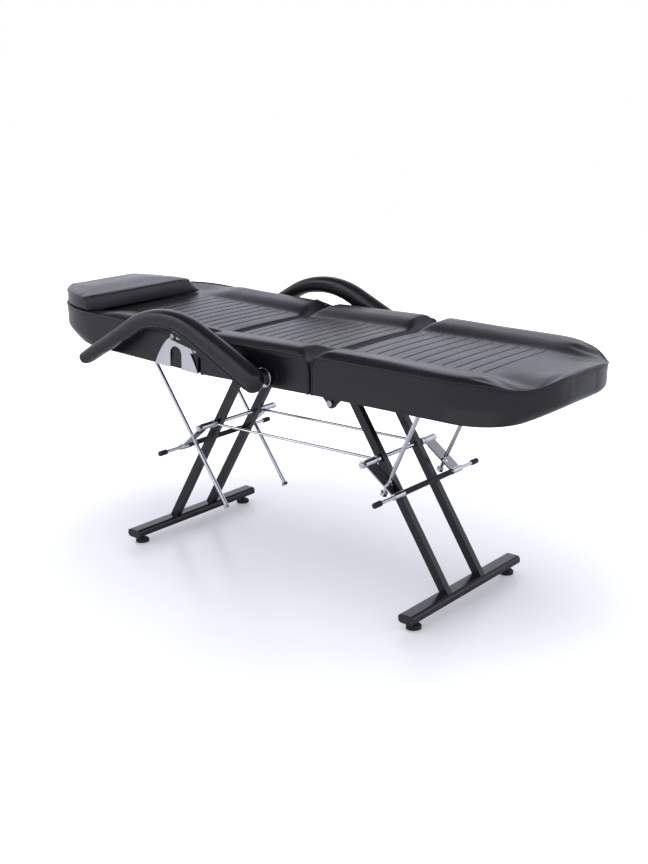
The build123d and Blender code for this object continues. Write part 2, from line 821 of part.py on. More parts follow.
def bar_spacer(point, side):
    ring = Circle(spacer_ring_radius) - Circle(side_screw_shank)
    return along_y(Pos(*point) * ring, *between(side, pad_half, bar_inner))


def hinge_stud(side):
    shank = rod_y(backrest_axis, pin_diameter / 2, *between(side, pad_half + soft_gap, bar_outer))
    head = rod_y(backrest_axis, stud_head_radius, *between(side, bar_outer, bar_outer + stud_head_height))
    return shank + head


# Armrests: a bent steel tube in a padded cover, turning on a stud through the side bar
armrest_side = 353.0
armrest_width = 52.0
armrest_tube = 22.0
armrest_tube_wall = 1.5
armrest_front_rise_deg = 26.9
armrest_rear_fall_deg = 28.6
armrest_front_run = 370.7
armrest_rear_run = 395.8
armrest_bend = 280.0
armrest_heights = (70.0, 61.0, 50.0, 43.0, 38.0)
washer_radius = 27.0
washer_thickness = 4.0
boss_radius = 15.0
boss_depth = 48.0
washer_inner = bar_outer + side_play
boss_inner = washer_inner + washer_thickness + side_play
guide_inner = boss_inner
guide_thickness = 4.0
guide_slot_play = 1.5
guide_rim = 7.0


def armrest_corner():
    a = radians(armrest_front_rise_deg)
    return (armrest_axis[0] - armrest_front_run * cos(a), armrest_axis[1] + armrest_front_run * sin(a))


def armrest_station(s):
    """Place and heading of the armrest's middle line, s along it from the pivot."""
    front, rear = radians(armrest_front_rise_deg), radians(armrest_rear_fall_deg)
    turn_angle = front + rear
    setback = armrest_bend * tan(turn_angle / 2)
    straight = armrest_front_run - setback
    if s <= straight:
        return (armrest_axis[0] - s * cos(front), armrest_axis[1] + s * sin(front), front)
    arc = armrest_bend * turn_angle
    start = (armrest_axis[0] - straight * cos(front), armrest_axis[1] + straight * sin(front))
    if s <= straight + arc:
        a = (s - straight) / armrest_bend
        heading = front - a
        chord = 2 * armrest_bend * sin(a / 2)
        return (start[0] - chord * cos(front - a / 2), start[1] + chord * sin(front - a / 2), heading)
    chord = 2 * armrest_bend * sin(turn_angle / 2)
    mid = front - turn_angle / 2
    end = (start[0] - chord * cos(mid), start[1] + chord * sin(mid))
    rest = s - straight - arc
    return (end[0] - rest * cos(rear), end[1] - rest * sin(rear), -rear)


def armrest_total():
    turn_angle = radians(armrest_front_rise_deg + armrest_rear_fall_deg)
    setback = armrest_bend * tan(turn_angle / 2)
    return armrest_front_run + armrest_rear_run - 2 * setback + armrest_bend * turn_angle


def armrest_height(s):
    """Padding depth, which thins from the pivot to the tip."""
    share = min(max(s / armrest_total(), 0), 1) * (len(armrest_heights) - 1)
    i = min(int(share), len(armrest_heights) - 2)
    return armrest_heights[i] + (armrest_heights[i + 1] - armrest_heights[i]) * (share - i)


body_shares = (0.0, 0.14, 0.28, 0.4, 0.5, 0.6, 0.72, 0.86, 1.0)
cap_shares = (1.0, 0.9, 0.6)
cap_reach_share = 0.92


def armrest_section(s, cap_share):
    """An oval of four arcs square to the bent line; cap_share shrinks it towards an end."""
    x, z, heading = armrest_station(s)
    shrink = sqrt(1 - (cap_share * cap_reach_share) ** 2)
    a, b = armrest_width / 2 * shrink, armrest_height(s) / 2 * shrink
    c = cos(pi / 4)
    corner = [(a * c, b * c), (-a * c, b * c), (-a * c, -b * c), (a * c, -b * c)]
    crest = [(0, b), (-a, 0), (0, -b), (a, 0)]
    arcs = [ThreePointArc(corner[i], crest[i], corner[(i + 1) % 4]) for i in range(4)]
    plane = Plane(origin=(x, 0, z), x_dir=(0, 1, 0), z_dir=(-cos(heading), 0, sin(heading)))
    return plane * make_face(Wire(arcs))


def armrest_cover(side):
    """The padding: a long loft, with a ruled rounded cap on each end."""
    total = armrest_total()
    middle = loft([armrest_section(share * total, 0) for share in body_shares])
    front, rear = armrest_heights[0] / 2, armrest_heights[-1] / 2
    front_cap = loft([armrest_section(-share * cap_reach_share * front, share)
                      for share in (*cap_shares, 0)], ruled=True)
    rear_cap = loft([armrest_section(total + share * cap_reach_share * rear, share)
                     for share in (0, *reversed(cap_shares))], ruled=True)
    return Pos(0, side * armrest_side, 0) * (middle + front_cap + rear_cap)


def armrest_core(side, wall=None):
    """The bent tube with its pivot boss and guide; without a wall it is solid throughout."""
    points = [armrest_axis, armrest_corner(), armrest_station(armrest_total())[:2]]
    path = FilletPolyline(*[(x, side * armrest_side, z) for x, z in points], radius=armrest_bend)
    section = Circle(armrest_tube / 2)
    if wall:
        section -= Circle(armrest_tube / 2 - wall)
    tube = sweep(Plane(origin=path @ 0, z_dir=path % 0) * section, path=path)
    boss = rod_y(armrest_axis, boss_radius, *between(side, boss_inner, boss_inner + boss_depth))
    return tube + boss + armrest_guide(side)


def armrest_frame(side):
    """The tube and its boss, bored blind for the stud."""
    bore = rod_y(armrest_axis, axle_diameter / 2 + turning_fit,
                 *between(side, boss_inner - side_play, boss_inner + boss_depth - bar_thickness))
    return armrest_core(side, armrest_tube_wall) - bore


def guide_reach(raise_deg):
    """How far the guide pin stands from the armrest's pivot, with the backrest raised."""
    x, z = turn_point(guide_point, backrest_axis, raise_deg)
    return hypot(x - armrest_axis[0], z - armrest_axis[1])


def guide_heading(raise_deg):
    x, z = turn_point(guide_point, backrest_axis, raise_deg)
    return rod_angle(armrest_axis, (x, z))


def guide_place(along):
    heading = radians(guide_heading(backrest_raise_deg))
    return (armrest_axis[0] + along * cos(heading), armrest_axis[1] - along * sin(heading))


def guide_slot_ends():
    """The pin's places nearest to the armrest's pivot and furthest from it."""
    reaches = [guide_reach(backrest_raise_deg + backrest_travel_deg * share) for share in (0, 0.5, 1)]
    return min(reaches), max(reaches)


armrest_lift_share = ((guide_heading(backrest_raise_deg + backrest_travel_deg)
                       - guide_heading(backrest_raise_deg)) / backrest_travel_deg)


def armrest_guide(side):
    """A flat arm from the pivot boss back to the slot for the backrest's guide pin."""
    near, far = guide_slot_ends()
    half = guide_pin_diameter / 2 + guide_slot_play
    a, b = guide_place(near - guide_slot_play), guide_place(far + guide_slot_play)
    face = hull_bar(armrest_axis, b, boss_radius, half + guide_rim) - hull_bar(a, b, half, half)
    return along_y(face, *between(side, guide_inner, guide_inner + guide_thickness))


def guide_pin(side):
    """A shouldered pin on the tongue, with a head outside the slotted plate."""
    outer = guide_inner + guide_thickness + side_play
    pin = rod_y(guide_point, guide_pin_diameter / 2, *between(side, arch_outer, outer))
    collar = rod_y(guide_point, guide_head_diameter / 2,
                   *between(side, arch_outer, guide_inner - side_play))
    head = rod_y(guide_point, guide_head_diameter / 2,
                 *between(side, outer, outer + guide_head_thickness))
    return pin + collar + head


def armrest_stud(side):
    reach = boss_inner + boss_depth - bar_thickness - side_play
    return rod_y(armrest_axis, axle_diameter / 2, *between(side, bar_inner, reach))


def armrest_washer(side):
    ring = Circle(washer_radius) - Circle(axle_diameter / 2)
    disc = along_y(Pos(*armrest_axis) * ring, *between(side, bar_outer, bar_outer + washer_thickness))
    outer = disc.edges().filter_by(GeomType.CIRCLE).group_by(SortBy.RADIUS)[-1]
    return chamfer(outer, washer_thickness / 4)


# Head pillow, lying on the backrest beyond the ends of its bolsters
pillow_setback = 45.0
pillow_depth = 206.0
pillow_width = 478.0
pillow_offset = -44.0
pillow_thickness = 47.0
pillow_edge = 12.0
pillow_front_slant = 6.0
pillow_far_slant = 50.0
pillow_back_slant = 20.0


def pillow_plan(inset, rise_share):
    """The plan at one level: round ends like the backrest's head end, the far one sloping in."""
    back = backrest_x0 + pillow_setback
    front = back + pillow_depth - pillow_front_slant * rise_share - inset / 2
    back += inset
    far = pillow_offset + pillow_width / 2 - pillow_far_slant * rise_share - inset
    near = pillow_offset - pillow_width / 2 + inset
    radius = head_radius - inset
    cx = backrest_x0 + head_radius
    sweep_back = acos((cx - back) / radius)
    draw_in = radius * (1 - sin(sweep_back))
    far_share = 1 - (pillow_far_slant - pillow_back_slant) * rise_share / draw_in
    turns = (pi / 2, (pi / 2 + sweep_back) / 2, sweep_back)
    near_arc = [(cx - radius * cos(a), near + radius * (1 - sin(a))) for a in turns]
    far_arc = [(cx - radius * cos(a), far - far_share * radius * (1 - sin(a))) for a in turns]
    edges = [Line((front, far), (front, near)), ThreePointArc((front, near), *near_arc[1:]),
             Line(near_arc[-1], far_arc[-1]), ThreePointArc(*reversed(far_arc[1:]), (front, far))]
    return make_face(Wire(edges))


def pillow(backrest_form):
    z = seat_height - panel_recess
    levels = ((pillow_edge, 0, 0), (0, pillow_edge, pillow_edge / pillow_thickness),
              (0, pillow_thickness - pillow_edge, 1 - pillow_edge / pillow_thickness),
              (pillow_edge, pillow_thickness, 1))
    sections = [Pos(0, 0, z + rise) * pillow_plan(inset, share) for inset, rise, share in levels]
    return loft(sections, ruled=True) - Pos(0, 0, soft_gap) * backrest_form


# Assembly
for name, end in (("head", -1), ("foot", 1)):
    add("foot_bar_" + name, foot_bar(end))
    for label, side in (("right", -1), ("left", 1)):
        add("leg_" + name + "_" + label, leg(end, side))
    add("clamp_plates_" + name, clamp_plate(end, -1), clamp_plate(end, 1))
    add("release_bar_" + name, release_bar(end))
    add("grip_sleeve_" + name, grip_sleeve(end))
    add("bar_tips_" + name, bar_tip(end, -1), bar_tip(end, 1))

corners = [(end, side) for end in (-1, 1) for side in (-1, 1)]
add("foot_bar_caps", *[foot_bar_cap(*corner) for corner in corners])
add("levelling_feet", *[levelling_foot(*corner) for corner in corners],
    *[levelling_nut(*corner) for corner in corners])
add("cross_tubes", *[cross_tube(end) for end in (-1, 1)])
add("axles", *[rod_y(axle, axle_diameter / 2, -axle_half, axle_half) for axle in (head_axle, foot_axle)])
add("stretchers", *[stretcher(side) for side in (-1, 1)])
add("axle_spacers", *[axle_spacer(*corner) for corner in corners])
add("axle_nuts", *[axle_nut(*corner) for corner in corners])

seat_board, seat_sticks, seat_pad = seat_pieces()
legrest_board, legrest_pad = legrest_pieces()
backrest_board, backrest_sticks, backrest_pad, backrest_form = backrest_pieces()
seat_screws, arch_screws = [], []
for side in (-1, 1):
    seat_screws += [side_screw(point, side, bar_outer) for point in side_bar_points()]
    arch_screws += [side_screw(point, side, arch_outer) for point in arch_screw_points()]
for screw in seat_screws:
    seat_pad = seat_pad - screw
    seat_sticks = [stick - screw for stick in seat_sticks]
for screw in arch_screws:
    backrest_pad = backrest_pad - screw
    backrest_sticks = [stick - screw for stick in backrest_sticks]

add("seat_board", seat_board)
add("seat_battens", *seat_sticks)
add("seat_pad", seat_pad)
add("backrest_board", raised(backrest_board))
add("backrest_battens", *[raised(stick) for stick in backrest_sticks])
add("backrest_pad", raised(backrest_pad))
add("legrest_board", drooped(legrest_board))
add("legrest_pad", drooped(legrest_pad))
high_pin, low_pin = backrest_pin_level(), legrest_pin_level()
add("backrest_rod_brackets", *[raised(rod_bracket(high_pin, backrest_bottom, s)) for s in (-1, 1)])
add("backrest_rod_pins", *[raised(rod_pin(high_pin, s)) for s in (-1, 1)])
add("legrest_rod_brackets", *[drooped(rod_bracket(low_pin, pad_bottom, s)) for s in (-1, 1)])
add("legrest_rod_pins", *[drooped(rod_pin(low_pin, s)) for s in (-1, 1)])
add("arch_screws", *[raised(screw) for screw in arch_screws])
add("side_bar_fixings", *seat_screws, *[bar_spacer(p, s) for s in (-1, 1) for p in side_bar_points()])
add("armrest_guide_pins", *[raised(guide_pin(s)) for s in (-1, 1)])
add("backrest_hinge_studs", *[hinge_stud(s) for s in (-1, 1)])
add("armrest_studs", *[armrest_stud(s) for s in (-1, 1)])
add("armrest_washers", *[armrest_washer(s) for s in (-1, 1)])
add("legrest_hinge_bolts", *[hinge_bolt(s) for s in (-1, 1)])
add("seat_hinge_ears", *[seat_ear(s) for s in (-1, 1)])
add("legrest_hinge_ears", *[drooped(legrest_ear(s)) for s in (-1, 1)])
add("head_pillow", raised(pillow(backrest_form)))

for label, side in (("right", -1), ("left", 1)):
    add("seat_rail_" + label, seat_rail(side))
    leg_rail_x0 = hinge_c_x + rail_end_gap
    add("legrest_rail_" + label, drooped(rail(leg_rail_x0, leg_rail_x0 + legrest_rail_length, side,
                                              legrest_rail_side)))
    add("arch_plate_" + label, raised(arch_plate(side)))
    add("side_bar_" + label, side_bar(side))
    add("rod_backrest_" + label, support_rod(backrest_pin, head_hole, backrest_rod_below, side),
        rod_end_nut(backrest_pin, head_hole, backrest_rod_below, side))
    add("rod_legrest_" + label, support_rod(legrest_pin, foot_hole, legrest_rod_below, side),
        rod_end_nut(legrest_pin, foot_hole, legrest_rod_below, side))
    add("armrest_frame_" + label, armrest_frame(side))
    add("armrest_pad_" + label, armrest_cover(side) - armrest_core(side))

# The origin lies on the floor under the middle of the whole couch's length
head_end = parts["backrest_pad"][0].bounding_box().min.X
foot_end = parts["legrest_pad"][0].bounding_box().max.X
shift = -(head_end + foot_end) / 2
origin = Pos(shift, 0, 0)

os.makedirs("parts", exist_ok=True)
for node, solids in parts.items():
    shapes = [origin * solid for solid in solids]
    pieces = [piece for shape in shapes for piece in shape.solids()]
    export_step(pieces[0] if len(pieces) == 1 else Compound(children=pieces), "parts/" + node + ".step")

print("nodes", len(parts))
print("row shift", round(shift, 3))
for name, point in (("backrest axis", backrest_axis), ("leg-rest axis", legrest_axis),
                    ("backrest pin", backrest_pin), ("leg-rest pin", legrest_pin),
                    ("head axle", head_axle), ("foot axle", foot_axle), ("armrest axis", armrest_axis)):
    print(name, round(point[0] + shift, 3), round(point[1], 3))
print("rod swing shares", backrest_swing_share, legrest_swing_share)
print("armrest lift share", round(armrest_lift_share, 4))
print("slots", [tuple(round(v, 1) for v in slot_span(end)) for end in (-1, 1)])
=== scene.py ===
import json
import bpy
import numpy as np
from mathutils import Matrix


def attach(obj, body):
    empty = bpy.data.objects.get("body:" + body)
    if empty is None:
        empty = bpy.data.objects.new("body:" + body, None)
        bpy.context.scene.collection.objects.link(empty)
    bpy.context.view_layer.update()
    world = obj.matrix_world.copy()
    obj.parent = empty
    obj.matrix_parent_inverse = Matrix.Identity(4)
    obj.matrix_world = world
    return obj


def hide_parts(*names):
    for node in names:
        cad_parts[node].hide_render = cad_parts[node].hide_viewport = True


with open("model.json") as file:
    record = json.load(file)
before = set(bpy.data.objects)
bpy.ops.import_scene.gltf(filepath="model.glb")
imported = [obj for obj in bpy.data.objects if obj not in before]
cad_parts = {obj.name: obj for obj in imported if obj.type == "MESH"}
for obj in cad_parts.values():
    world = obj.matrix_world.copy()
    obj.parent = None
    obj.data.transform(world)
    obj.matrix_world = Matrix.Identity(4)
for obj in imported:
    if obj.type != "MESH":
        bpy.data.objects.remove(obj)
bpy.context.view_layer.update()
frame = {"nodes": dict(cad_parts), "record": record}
print("frame loaded:", len(frame["nodes"]), "nodes")


def smooth(x):
    # 3x^2 - 2x^3 between 0 and 1
    x = np.clip(x, 0.0, 1.0)
    return x * x * (3 - 2 * x)


def meshObject(name, points, faces):
    # a smooth-shaded object at the origin, with its place in its mesh
    mesh = bpy.data.meshes.new(name)
    mesh.from_pydata(np.asarray(points).tolist(), [], faces)
    mesh.validate()
    mesh.shade_smooth()
    obj = bpy.data.objects.new(name, mesh)
    bpy.context.scene.collection.objects.link(obj)
    return obj


def pointsOf(obj):
    # the mesh's points as rows of x, y, z
    flat = np.empty(len(obj.data.vertices) * 3)
    obj.data.vertices.foreach_get("co", flat)
    return flat.reshape(-1, 3)


def setPoints(obj, points):
    # the mesh's points moved to the given rows
    obj.data.vertices.foreach_set("co", np.ascontiguousarray(points, np.float32).ravel())
    obj.data.update()


def facedOut(points, quads):
    # signed volume: the sum of each face's corner times the cross product of its diagonals; negative means inside out
    p = points[quads]
    volume = np.einsum("ij,ij->i", p[:, 0], np.cross(p[:, 2] - p[:, 0], p[:, 3] - p[:, 1])).sum()
    return quads if volume > 0 else quads[:, ::-1]


def blockForm(shape, alongs, acrosses, ups):
    # the six faces of a block of parameters (a, b, c), each a grid; equal corners become one point, and shape(a, b, c)
    # gives its place
    lines = (np.asarray(alongs), np.asarray(acrosses), np.asarray(ups))
    counts = [len(line) for line in lines]
    keys, quads, total = [], [], 0
    for fixed in range(3):
        first, second = [i for i in range(3) if i != fixed]
        i, j = np.meshgrid(np.arange(counts[first]), np.arange(counts[second]), indexing="ij")
        for end in (0, counts[fixed] - 1):
            key = np.empty(i.shape + (3,), int)
            key[..., first], key[..., second], key[..., fixed] = i, j, end
            index = total + np.arange(i.size).reshape(i.shape)
            quad = np.stack([index[:-1, :-1], index[1:, :-1], index[1:, 1:], index[:-1, 1:]], -1).reshape(-1, 4)
            if (end == 0) != (fixed == 1):
                quad = quad[:, ::-1]
            keys.append(key.reshape(-1, 3))
            quads.append(quad)
            total += i.size
    unique, inverse = np.unique(np.concatenate(keys), axis=0, return_inverse=True)
    quads = inverse.reshape(-1)[np.concatenate(quads)]
    a, b, c = (lines[k][unique[:, k]] for k in range(3))
    points = shape(a, b, c)
    return points, facedOut(points, quads), (a, b, c)


def tubeForm(rings):
    # rings of equal count joined by quads, with the first and last ring drawn to their middles
    count, around = rings.shape[:2]
    index = np.arange(count * around).reshape(count, around)
    rolled = np.roll(index, -1, axis=1)
    quads = np.stack([index[:-1], rolled[:-1], rolled[1:], index[1:]], -1).reshape(-1, 4)
    points = np.concatenate([rings.reshape(-1, 3), rings[[0, -1]].mean(axis=1)])
    quads = facedOut(points, quads)
    fans = []
    for ring, rolledRing, middle, first in ((index[0], rolled[0], count * around, True),
                                            (index[-1], rolled[-1], count * around + 1, False)):
        fan = np.stack([ring, rolledRing, np.full(around, middle)], -1)
        flip = bool((quads[0, 0] == index[0, 0]) == first)
        fans.append(fan[:, ::-1] if flip else fan)
    return points, quads.tolist() + np.concatenate(fans).tolist()


def evened(path, spacing):
    # the path resampled at equal arc length
    lengths = np.concatenate([[0], np.cumsum(np.linalg.norm(np.diff(path, axis=0), axis=1))])
    at = np.linspace(0, lengths[-1], max(int(lengths[-1] / spacing), 4) + 1)
    return np.stack([np.interp(at, lengths, path[:, k]) for k in range(3)], -1)


def cordRings(path, outward, radius, around):
    # a circle square to the path at each point: outward and the cross product of it with the path's direction span it
    along = np.gradient(path, axis=0)
    along /= np.linalg.norm(along, axis=1, keepdims=True)
    side = outward - along * np.einsum("ij,ij->i", outward, along)[:, None]
    side /= np.linalg.norm(side, axis=1, keepdims=True)
    up = np.cross(along, side)
    angle = np.linspace(0, 2 * np.pi, around, endpoint=False)
    return path[:, None] + radius * (side[:, None] * np.cos(angle)[None, :, None]
                                     + up[:, None] * np.sin(angle)[None, :, None])


def turned(points, hinge, degrees):
    # turned about a line along Y through hinge, as the part's own sections are
    angle = np.radians(degrees)
    x, z = points[:, 0] - hinge[0], points[:, 2] - hinge[1]
    return np.stack([hinge[0] + x * np.cos(angle) + z * np.sin(angle), points[:, 1],
                     hinge[1] - x * np.sin(angle) + z * np.cos(angle)], -1)


# The covers' cloth, in Blender's own units.
coverCloth = {"quality": 4, "mass": 0.25, "stretch": 18, "bending": 6.0, "frames": 20}


def inflate(obj, held, look):
    # Blender's cloth, blown up without gravity and held at the seams; no point moves more than mostBulge
    rest = pointsOf(obj)
    group = obj.vertex_groups.new(name="held")
    group.add(np.flatnonzero(held).tolist(), 1.0, "REPLACE")
    cloth = obj.modifiers.new("cloth", "CLOTH")
    cloth.settings.quality = coverCloth["quality"]
    cloth.settings.mass = coverCloth["mass"]
    cloth.settings.tension_stiffness = cloth.settings.compression_stiffness = coverCloth["stretch"]
    cloth.settings.bending_stiffness = coverCloth["bending"]
    cloth.settings.use_pressure = True
    cloth.settings.uniform_pressure_force = look["pressure"]
    cloth.settings.shrink_min = cloth.settings.shrink_max = -look["slack"]
    cloth.settings.effector_weights.gravity = 0
    cloth.settings.vertex_group_mass = "held"
    cloth.collision_settings.use_self_collision = False
    for step in range(1, coverCloth["frames"] + 1):
        bpy.context.scene.frame_set(step)
    view = bpy.context.evaluated_depsgraph_get()
    blown = obj.evaluated_get(view)
    flat = np.empty(len(obj.data.vertices) * 3)
    blown.data.vertices.foreach_get("co", flat)
    obj.modifiers.remove(cloth)
    bpy.context.scene.frame_set(1)
    move = flat.reshape(-1, 3) - rest
    size = np.linalg.norm(move, axis=1, keepdims=True)
    setPoints(obj, rest + move * np.minimum(1, look["mostBulge"] / np.maximum(size, 1e-9)))
    obj.vertex_groups.clear()
    print("inflated", obj.name, "largest move", round(float(size.max()), 4))


def subdivided(obj):
    # one level of subdivision, applied
    modifier = obj.modifiers.new("finer", "SUBSURF")
    modifier.levels = modifier.render_levels = 1
    view = bpy.context.evaluated_depsgraph_get()
    finer = bpy.data.meshes.new_from_object(obj.evaluated_get(view))
    obj.modifiers.clear()
    obj.data = finer
    obj.data.shade_smooth()


def setSeamAndShade(obj, values):
    # the attribute for seams and their painted shade in the leather: 0 on open cover, 1 in a seam, where the shade is
    # painted darkest
    attribute = obj.data.attributes.get("seamAndShade") or obj.data.attributes.new("seamAndShade", "FLOAT", "POINT")
    attribute.data.foreach_set("value", values.astype(np.float32))


def nodeGroup(name, inputs, outputs):
    # an empty shader node group with its sockets; back come the group and its two end nodes
    group = bpy.data.node_groups.new(name, "ShaderNodeTree")
    for side, sockets in (("INPUT", inputs), ("OUTPUT", outputs)):
        for label, kind in sockets.items():
            group.interface.new_socket(label, in_out=side, socket_type="NodeSocket" + kind)
    return group, group.nodes.new("NodeGroupInput"), group.nodes.new("NodeGroupOutput")


def node(tree, kind, inputs=None, **settings):
    # one node: an input that is a socket is linked, and any other is its value
    made = tree.nodes.new(kind)
    for key, value in settings.items():
        setattr(made, key, value)
    for key, value in (inputs or {}).items():
        if isinstance(value, bpy.types.NodeSocket):
            tree.links.new(value, made.inputs[key])
        else:
            made.inputs[key].default_value = value
    return made


grainLook = {"edge": 0.22, "creaseScale": 26.0, "creaseBend": 0.6, "strength": 0.35, "height": 0.0012}


def makeGrainGroup():
    # leather grain: the distance to the edges of small cells, plus a slow unevenness, as a bump
    group, start, end = nodeGroup("leatherGrain", {"Place": "Vector", "Cells": "Float", "Depth": "Float",
                                                   "Creases": "Float"}, {"Normal": "Vector"})
    cells = node(group, "ShaderNodeTexVoronoi", {"Vector": start.outputs["Place"], "Scale": start.outputs["Cells"]},
                 feature="DISTANCE_TO_EDGE")
    fine = node(group, "ShaderNodeMapRange", {"Value": cells.outputs["Distance"], "From Max": grainLook["edge"]})
    slow = node(group, "ShaderNodeTexNoise", {"Vector": start.outputs["Place"], "Scale": grainLook["creaseScale"],
                                              "Detail": 3.0, "Roughness": 0.55,
                                              "Distortion": grainLook["creaseBend"]})
    crease = node(group, "ShaderNodeMath", {0: slow.outputs["Fac"], 1: start.outputs["Creases"]}, operation="MULTIPLY")
    height = node(group, "ShaderNodeMath", {0: fine.outputs["Result"], 1: start.outputs["Depth"],
                                            2: crease.outputs[0]}, operation="MULTIPLY_ADD")
    bump = node(group, "ShaderNodeBump", {"Height": height.outputs[0], "Strength": grainLook["strength"],
                                          "Distance": grainLook["height"]})
    group.links.new(bump.outputs["Normal"], end.inputs["Normal"])
    return group


wearLook = {"from": 0.3, "to": 0.7}


def makeWearGroup():
    # wear: a slow noise, cut to a range of gloss, and as it is for the tint
    group, start, end = nodeGroup("handling", {"Place": "Vector", "Patches": "Float", "Low": "Float",
                                               "High": "Float"}, {"Gloss": "Float", "Patch": "Float"})
    broad = node(group, "ShaderNodeTexNoise", {"Vector": start.outputs["Place"], "Scale": start.outputs["Patches"],
                                               "Detail": 4.0, "Roughness": 0.6})
    gloss = node(group, "ShaderNodeMapRange", {"Value": broad.outputs["Fac"], "From Min": wearLook["from"],
                                               "From Max": wearLook["to"], "To Min": start.outputs["Low"],
                                               "To Max": start.outputs["High"]})
    group.links.new(gloss.outputs["Result"], end.inputs["Gloss"])
    group.links.new(broad.outputs["Fac"], end.inputs["Patch"])
    return group


dustLook = {"upFrom": 0.2, "scale": 240.0, "from": 0.45, "to": 0.75}


def makeDustGroup():
    # dust: strongest on faces that look up, broken by fine specks
    group, start, end = nodeGroup("dustFilm", {"Place": "Vector", "Amount": "Float"}, {"Dust": "Float"})
    facing = node(group, "ShaderNodeNewGeometry")
    split = node(group, "ShaderNodeSeparateXYZ", {0: facing.outputs["Normal"]})
    up = node(group, "ShaderNodeMapRange", {"Value": split.outputs["Z"], "From Min": dustLook["upFrom"],
                                            "From Max": 1.0})
    specks = node(group, "ShaderNodeTexNoise", {"Vector": start.outputs["Place"], "Scale": dustLook["scale"],
                                                "Detail": 4.0})
    fine = node(group, "ShaderNodeMapRange", {"Value": specks.outputs["Fac"], "From Min": dustLook["from"],
                                              "From Max": dustLook["to"]})
    part = node(group, "ShaderNodeMath", {0: up.outputs["Result"], 1: fine.outputs["Result"]}, operation="MULTIPLY")
    dust = node(group, "ShaderNodeMath", {0: part.outputs[0], 1: start.outputs["Amount"]}, operation="MULTIPLY")
    group.links.new(dust.outputs[0], end.inputs["Dust"])
    return group


grainGroup, wearGroup, dustGroup = makeGrainGroup(), makeWearGroup(), makeDustGroup()


def useGroup(tree, group, inputs):
    # a copy of a shared group with this material's own values
    return node(tree, "ShaderNodeGroup", inputs, node_tree=group)


def newMaterial(name):
    # a material with its tree, its Principled BSDF and the object coordinates that patterns run on
    material = bpy.data.materials.new(name)
    material.use_nodes = True
    tree = material.node_tree
    surface = tree.nodes["Principled BSDF"]
    place = node(tree, "ShaderNodeTexCoord").outputs["Object"]
    return material, tree, surface, place


def mixed(tree, factor, dark, light):
    # dark where the factor is 0 and light where it is 1; each is a colour or a socket
    mix = node(tree, "ShaderNodeMix", data_type="RGBA")
    tree.links.new(factor, mix.inputs["Factor"])
    for socket, value in ((mix.inputs[6], dark), (mix.inputs[7], light)):
        if isinstance(value, bpy.types.NodeSocket):
            tree.links.new(value, socket)
        else:
            socket.default_value = (*value, 1)
    return mix.outputs[2]


# The seam colour is painted shade for the leather's seams and channel valleys.
leatherLook = {
    "colour": (0.0060, 0.0055, 0.0062), "worn": (0.0105, 0.0098, 0.0110), "seamAndShade": (0.002, 0.002, 0.002),
    "dust": (0.16, 0.155, 0.17), "dustAmount": 0.07, "glossLow": 0.21, "glossHigh": 0.30,
    "cells": 850.0, "grainDepth": 0.08, "creases": 0.30, "patches": 5.0, "seamRoughness": 0.35, "specular": 0.50,
}


def makeLeather(name, look):
    # grain, handling and dust over a near-black cover, rougher in the seams and darkened there with painted shade
    material, tree, surface, place = newMaterial(name)
    grain = useGroup(tree, grainGroup, {"Place": place, "Cells": look["cells"], "Depth": look["grainDepth"],
                                        "Creases": look["creases"]})
    wear = useGroup(tree, wearGroup, {"Place": place, "Patches": look["patches"], "Low": look["glossLow"],
                                      "High": look["glossHigh"]})
    dust = useGroup(tree, dustGroup, {"Place": place, "Amount": look["dustAmount"]})
    seamAndShade = node(tree, "ShaderNodeAttribute", attribute_name="seamAndShade")
    tint = mixed(tree, wear.outputs["Patch"], look["colour"], look["worn"])
    dusty = mixed(tree, dust.outputs["Dust"], tint, look["dust"])
    # painted shade: the seam attribute darkens the colour towards the seam colour
    dark = mixed(tree, seamAndShade.outputs["Fac"], dusty, look["seamAndShade"])
    tree.links.new(dark, surface.inputs["Base Color"])
    rough = node(tree, "ShaderNodeMath", {0: seamAndShade.outputs["Fac"], 1: look["seamRoughness"],
                                          2: wear.outputs["Gloss"]}, operation="MULTIPLY_ADD")
    tree.links.new(rough.outputs[0], surface.inputs["Roughness"])
    tree.links.new(grain.outputs["Normal"], surface.inputs["Normal"])
    surface.inputs["Specular IOR Level"].default_value = look["specular"]
    return material


dustColour = (0.22, 0.21, 0.20)
pitHeight = 0.0008
coats = {
    "black_steel": {"colour": (0.006, 0.006, 0.007), "worn": (0.011, 0.011, 0.012), "metallic": 0.0,
                    "low": 0.12, "high": 0.22, "patches": 9.0, "pitScale": 620.0, "pit": 0.10, "dust": 0.10},
    "chrome": {"colour": (0.72, 0.73, 0.75), "worn": (0.62, 0.63, 0.65), "metallic": 1.0,
               "low": 0.05, "high": 0.14, "patches": 14.0, "pitScale": 300.0, "pit": 0.01, "dust": 0.05},
    "zinc_steel": {"colour": (0.55, 0.55, 0.56), "worn": (0.42, 0.42, 0.43), "metallic": 1.0,
                   "low": 0.26, "high": 0.40, "patches": 30.0, "pitScale": 500.0, "pit": 0.06, "dust": 0.08},
    "black_rubber": {"colour": (0.016, 0.016, 0.016), "worn": (0.030, 0.030, 0.030), "metallic": 0.0,
                     "low": 0.62, "high": 0.80, "patches": 20.0, "pitScale": 700.0, "pit": 0.14, "dust": 0.20},
    "black_plastic": {"colour": (0.018, 0.018, 0.018), "worn": (0.028, 0.028, 0.028), "metallic": 0.0,
                      "low": 0.42, "high": 0.55, "patches": 16.0, "pitScale": 900.0, "pit": 0.12, "dust": 0.15},
}


